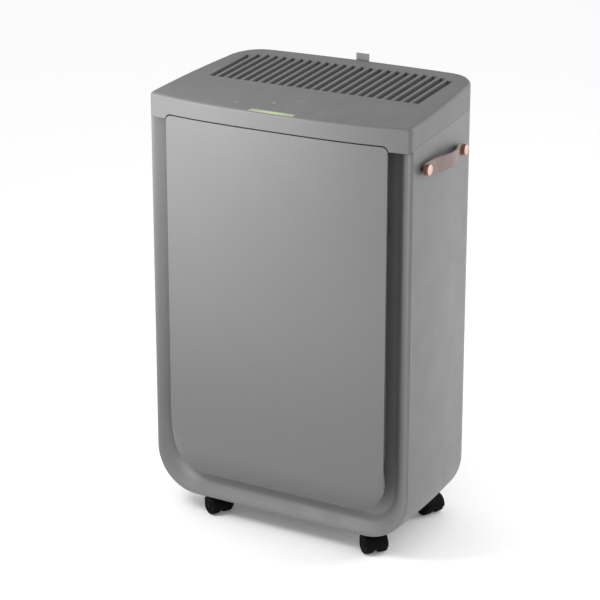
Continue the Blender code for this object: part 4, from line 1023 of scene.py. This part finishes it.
def make_filter():
    """The filter: the CAD frame with eased edges, crossbars, and a net of crossed threads."""
    rounded(frame["nodes"]["filter_frame"], 0.0005, 3, 35.0)
    low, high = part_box("filter_mesh")
    middle = (low[1] + high[1]) / 2
    threads = []
    for along in (0, 2):
        span = high[along] - low[along]
        count = int(span / NET_PITCH)
        back, front = (THREAD_THICK, THREAD_LAP) if along == 0 else (THREAD_LAP, THREAD_THICK)
        for k in range(count + 1):
            spot = low[along] + NET_MARGIN + (span - 2 * NET_MARGIN) * k / count
            start, end = list(low), list(high)
            start[1], end[1] = middle - back, middle + front
            start[along], end[along] = spot - THREAD_HALF, spot + THREAD_HALF
            threads.append((start, end))
    net = boxes("filter_net", threads, "mesh_black")
    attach(net, "filter")
    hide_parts("filter_mesh")
    bars = []
    for z in CROSSBAR_ZS:
        bars.append(((low[0], middle + 0.0004, z - 0.0013), (high[0], middle + 0.0014, z + 0.0013)))
    ribs = rounded(boxes("filter_crossbars", bars, "body_grey"), 0.0003, 2)
    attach(ribs, "filter")


# ---------------- leather straps and studs
def strap_path(side):
    first, last = STUD_YS
    flat = STUD_RADIUS + 0.0018
    near, far = side_half(first) + STRAP_SEAT, side_half(last) + STRAP_SEAT
    points = [(side * near, first - STRAP_TAIL), (side * near, first), (side * near, first + flat - 0.001)]
    for share, bow in STRAP_SHAPE[1:-1]:
        y = first + flat + (last - first - 2 * flat) * share
        points.append((side * (near + (far - near) * share + STRAP_BOW * bow), y))
    points += [(side * far, last - flat + 0.001), (side * far, last), (side * far, last + STRAP_TAIL)]
    return spline(points, 8)


def strap_half(y):
    """Half the strap's width at y: round ends, a little wider in the middle."""
    first, last = STUD_YS
    end = STRAP_END_WIDTH / 2
    tail = max(first - y, y - last, 0.0)
    if tail > 0.0:
        return end * math.sqrt(max(1.0 - (tail / STRAP_TAIL) ** 2, 0.0004))
    share = (y - first) / (last - first)
    return end + (STRAP_WIDTH / 2 - end) * min(math.sin(math.pi * share) * 1.6, 1.0)


def make_straps():
    """Leather straps: a crowned, rolled-edge section swept along the strap's line, with an edge groove."""
    for label, side in (("left", -1), ("right", 1)):
        path = strap_path(side)
        turns = even(0.0, 2 * math.pi, 40)[:-1]
        rings = []
        for k, here in enumerate(path):
            before, after = path[max(k - 1, 0)], path[min(k + 1, len(path) - 1)]
            along = (after - before).normalized()
            out = Vector((along.y, -along.x)) * side
            half = strap_half(here.y)
            thin = min(half / STRAP_FULL_HALF, 1.0)
            ring = []
            for turn in turns:
                u, v = math.cos(turn), math.sin(turn)
                wide = half * math.copysign(abs(u) ** STRAP_SQUARENESS[0], u)
                deep = STRAP_THICK / 2 * thin * math.copysign(abs(v) ** STRAP_SQUARENESS[1], v)
                off_groove = (abs(wide) - half + GROOVE_INSET) / GROOVE_WIDTH
                groove = math.exp(-off_groove ** 2) * GROOVE_DEPTH
                if abs(v) > 0.5:
                    deep -= math.copysign(groove * thin, v)
                spot = here + out * deep
                ring.append((spot.x, spot.y, STUD_Z + wide))
            rings.append(ring)
        strap = loft(f"leather_strap_{label}", rings, "tan_leather")
        strap.data.polygons.foreach_set("use_smooth", [True] * len(strap.data.polygons))
        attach(strap, "housing")
        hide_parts(f"strap_{label}")
        for spot, y in zip(("front", "rear"), STUD_YS):
            make_stud(f"{label}_{spot}", side, y)


def make_stud(label, side, y):
    """A stud head on the strap, and the post under it."""
    foot = (side * side_half(y), y, STUD_Z)
    axis = (side, SIDE_TAPER * 2.0 * (y - CASE_FRONT) / (CASE_BACK - CASE_FRONT) ** 2, 0.0)
    top = STRAP_SEAT - 0.0002
    profile = [(0.0, STUD_REACH + 0.0001), (STUD_RADIUS - 0.0020, STUD_REACH + 0.0001),
               (STUD_RADIUS - 0.0009, STUD_REACH)]
    for angle in (15, 35, 55, 75, 90):
        turn = math.radians(angle)
        profile.append((STUD_RADIUS - STUD_ROUND + STUD_ROUND * math.sin(turn),
                        STUD_REACH - STUD_ROUND + STUD_ROUND * math.cos(turn)))
    profile += [(STUD_RADIUS, top + STUD_ROUND), (STUD_RADIUS - 0.0003, top + 0.0002),
                (STUD_RADIUS - 0.0010, top), (STUD_NECK, top), (STUD_NECK, STRAP_SEAT - 0.0010),
                (0.0, STRAP_SEAT - 0.0010)]
    stud = lathe(f"stud_head_{label}", profile, "rose_copper", foot, axis, 56)
    smooth_by_angle(stud, 50.0)
    # Painted shade and reflection: the head's barrel sides take a darker copy of the copper.
    stud.data.materials.append(LOOKS["stud_side_painted_shade"])
    for facet in stud.data.polygons:
        facet.material_index = int(abs(facet.normal.x) < 0.5)
    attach(stud, "housing")
    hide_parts(f"stud_{label}")

    under = STRAP_SEAT - STRAP_THICK / 2 - POST_UNDER
    profile = [(0.0, under), (0.0030, under), (0.0034, under - 0.0004), (0.0030, under - 0.0010), *POST_FOOT]
    # The post's near-black colour is painted shadow under the strap.
    post = lathe(f"stud_post_{label}", profile, "stud_post_painted_shadow", foot, axis, 40)
    smooth_by_angle(post, 50.0)
    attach(post, "housing")


# ---------------- casters
def caster_frame(label):
    heading = math.radians(CASTER_HEADINGS[label])
    x = CASTER_X if "right" in label else -CASTER_X
    y = CASTER_Y if "back" in label else -CASTER_Y
    return Matrix.Translation((x, y, 0.0)) @ Matrix.Rotation(heading, 4, "Z")


def make_fender(label, place):
    """A hood with rolled shoulders over both wheels."""
    half = WHEEL_INNER + WHEEL_WIDTH
    rows = []
    for angle in even(*FENDER_ARC, 28):
        turn = math.radians(angle)
        row = []
        for across in even(-1.0, 1.0, 14):
            radius = WHEEL_RADIUS + FENDER_GAP - FENDER_SHOULDER * abs(across) ** 6
            row.append(place @ Vector((CASTER_TRAIL + radius * math.cos(turn), across * (half - FENDER_INSET),
                                       WHEEL_RADIUS + radius * math.sin(turn))))
        rows.append(row)
    outward = place.to_3x3() @ Vector((0.2, 0.0, 1.0))
    fender = grid(f"caster_fender_{label}", rows, "caster_black", outward)
    thickened(fender, FENDER_WALL)
    return rounded(fender, 0.0003, 2, 50.0)


def make_wheel(name, start, along):
    profile = list(WHEEL_BACK)
    for middle in TREAD_GROOVES:
        bottom = WHEEL_RADIUS - TREAD_DEPTH
        profile += [(WHEEL_RADIUS, middle - 0.0004), (bottom, middle - 0.0002), (bottom, middle + 0.0002),
                    (WHEEL_RADIUS, middle + 0.0004)]
    profile += [(radius, WHEEL_WIDTH + past) for radius, past in WHEEL_FACE]
    profile.append(WHEEL_BACK[0])
    return smooth_by_angle(lathe(name, profile, "caster_black", start, along, 48), 35.0)


def make_casters():
    """Twin-wheel casters: a fender with its web on a collared stem, and wheels with tread and hub."""
    for label in CASTER_HEADINGS:
        place = caster_frame(label)
        fender = make_fender(label, place)
        edge = arc((CASTER_TRAIL, WHEEL_RADIUS), WEB_RADIUS, *FENDER_ARC, 20) + list(WEB_FOOT)
        rings = [[place @ Vector((x, y, z)) for x, z in edge] for y in (-WEB_HALF, WEB_HALF)]
        web = rounded(loft(f"caster_web_{label}", rings, "caster_black"), 0.0004, 2)

        centre = place @ Vector((0.0, 0.0, 0.0))
        stem = lathe(f"caster_stem_{label}", STEM_PROFILE, "caster_black", centre, (0, 0, 1), 40)
        smooth_by_angle(stem, 40.0)
        axle = place @ Vector((CASTER_TRAIL, 0.0, WHEEL_RADIUS))
        aside = place.to_3x3() @ Vector((0.0, 1.0, 0.0))
        cut(stem, lathe("wheel_room", WHEEL_ROOM, None, axle, aside, 72))
        body = f"caster_{label}"
        for piece in (fender, web, stem):
            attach(piece, body)
        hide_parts(f"caster_hood_{label}")

        for side, sign in (("a", 1.0), ("b", -1.0)):
            along = place.to_3x3() @ Vector((0.0, sign, 0.0))
            wheel = make_wheel(f"wheel_{side}_{label}", axle + along * WHEEL_INNER, along)
            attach(wheel, f"wheel_{label}_{side}")
            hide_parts(f"caster_wheel_{label}_{side}")


# ---------------- small details
def lens_arc(angle):
    """A point of the rounding between fascia and deck, at an angle up from the fascia."""
    turn = math.radians(angle)
    return (FASCIA_Y + FASCIA_EDGE * (1.0 - math.cos(turn)),
            deck_z(FASCIA_Y) - FASCIA_EDGE * (1.0 - math.sin(turn)))


def make_light_bar():
    """The lit bar, let into the rounding and the first millimetres of the deck."""
    top = deck_z(FASCIA_Y)
    section = [(y - 0.00005, z + LENS_PROUD) for y, z in map(lens_arc, even(LENS_START, 90.0, 4))]
    section += [(FASCIA_Y + LENS_DEEP, top + LENS_PROUD + DECK_SLOPE * (LENS_DEEP - FASCIA_EDGE)),
                (FASCIA_Y + LENS_DEEP, top - 0.0012), (FASCIA_Y + 0.0026, top - 0.0019)]
    bar = extruded("light_lens", section, -LENS_HALF, LENS_HALF, "X", "green_light")
    rounded(bar, 0.0003, 3, 40.0)
    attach(bar, "housing")
    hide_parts("light_bar")


def flat_shape(bm, outline):
    """A thin print on the deck from an (x, y) outline."""
    add_loft(bm, [[(x, y, deck_z(y) + lift) for x, y in outline] for lift in (-0.0001, 0.00016)])


def ring_part(bm, centre, radius, width, first, last, steps=24):
    flat_shape(bm, arc(centre, radius, first, last, steps) + arc(centre, radius - width, last, first, steps))


def make_icons():
    """Plain touch marks: a stand-by ring, a drop, a row of dots, a bar and an open ring."""
    bm = bmesh.new()
    ring_part(bm, (-0.057, -0.090), 0.0028, 0.0005, 120.0, 420.0)
    flat_shape(bm, [(-0.05725, -0.0905), (-0.05675, -0.0905), (-0.05675, -0.0862), (-0.05725, -0.0862)])
    drop = []
    for angle in even(0.0, 342.0, 19):
        turn = math.radians(angle)
        point = max(math.sin(turn), 0.0) ** 3 * 0.0016
        wide = 0.0018 * math.cos(turn) * (1.0 - point * 300.0)
        drop.append((-0.014 + wide, -0.077 + 0.0018 * math.sin(turn) + point))
    flat_shape(bm, drop)
    for k in range(4):
        ring_part(bm, (0.004 + 0.004 * k, -0.082), 0.0007, 0.00069, 0.0, 360.0, 12)
    flat_shape(bm, [(0.010, -0.0612), (0.018, -0.0612), (0.018, -0.0607), (0.010, -0.0607)])
    ring_part(bm, (0.057, -0.090), 0.0026, 0.0005, 0.0, 300.0)
    icons = from_bmesh("touch_marks", bm, "icon_print")
    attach(icons, "housing")


def add_screw(bm, place, axis):
    """A pan-head screw with a cross recess, as a star of facets."""
    place = facing(place, axis)
    waist, arms = SCREW_CROSS
    rings = []
    for share, height in SCREW_PROFILE:
        ring = []
        for angle in even(0.0, 2 * math.pi, 24)[:-1]:
            wide = SCREW_RADIUS * (share or waist + arms * abs(math.cos(2 * angle)) ** 4)
            ring.append(place @ Vector((wide * math.cos(angle), wide * math.sin(angle), height)))
        rings.append(ring)
    add_loft(bm, rings)


def make_back_details():
    """Screws of the back wall, and a blank type plate with plain bars."""
    bm = bmesh.new()
    for x, z in BACK_SCREWS:
        add_screw(bm, (x, back_y(x), z), (0, 1, 0))
    screws = smooth_by_angle(from_bmesh("back_screws", bm, "zinc_steel"), 40.0)
    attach(screws, "housing")

    xs = even(*PLATE_XS, 8)
    outline = [(x, back_y(x) + 0.0003) for x in xs] + [(x, back_y(x) - 0.0002) for x in reversed(xs)]
    plate = extruded("type_plate", outline, *PLATE_ZS, "Z", "light_grey")
    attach(plate, "housing")

    x_first = PLATE_XS[1] - 0.005
    spans = []
    for row, share in enumerate(PLATE_BARS):
        z = PLATE_ZS[1] - 0.007 - PLATE_BAR_PITCH * row
        x_last = x_first - (PLATE_XS[1] - PLATE_XS[0]) * share
        spans.append(((x_last, back_y(x_last) + 0.0001, z - PLATE_BAR_HALF),
                      (x_first, back_y(x_first) + 0.00055, z + PLATE_BAR_HALF)))
    bars = boxes("type_plate_bars", spans, "inner_black")
    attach(bars, "housing")


def dress_cad():
    """Eased edges and a node material for every CAD piece that stays."""
    for name, width in EASED_EDGES.items():
        rounded(frame["nodes"][name], width, 2, 35.0)
    slots = {part["node"]: part["material_slot"] for part in frame["record"]["subparts"]}
    for name, node in frame["nodes"].items():
        node.data.materials.clear()
        node.data.materials.append(LOOKS[slots[name]])


make_camera()
make_world()
make_lights()
make_floor()
make_plastics()
make_metals_and_prints()
make_leather_net_and_board()
make_casing()
make_front_frame()
make_front_panel()
make_top_cover()
make_vanes()
make_rear_cover()
make_grille()
make_filter()
make_straps()
make_casters()
make_light_bar()
make_icons()
make_back_details()
dress_cad()
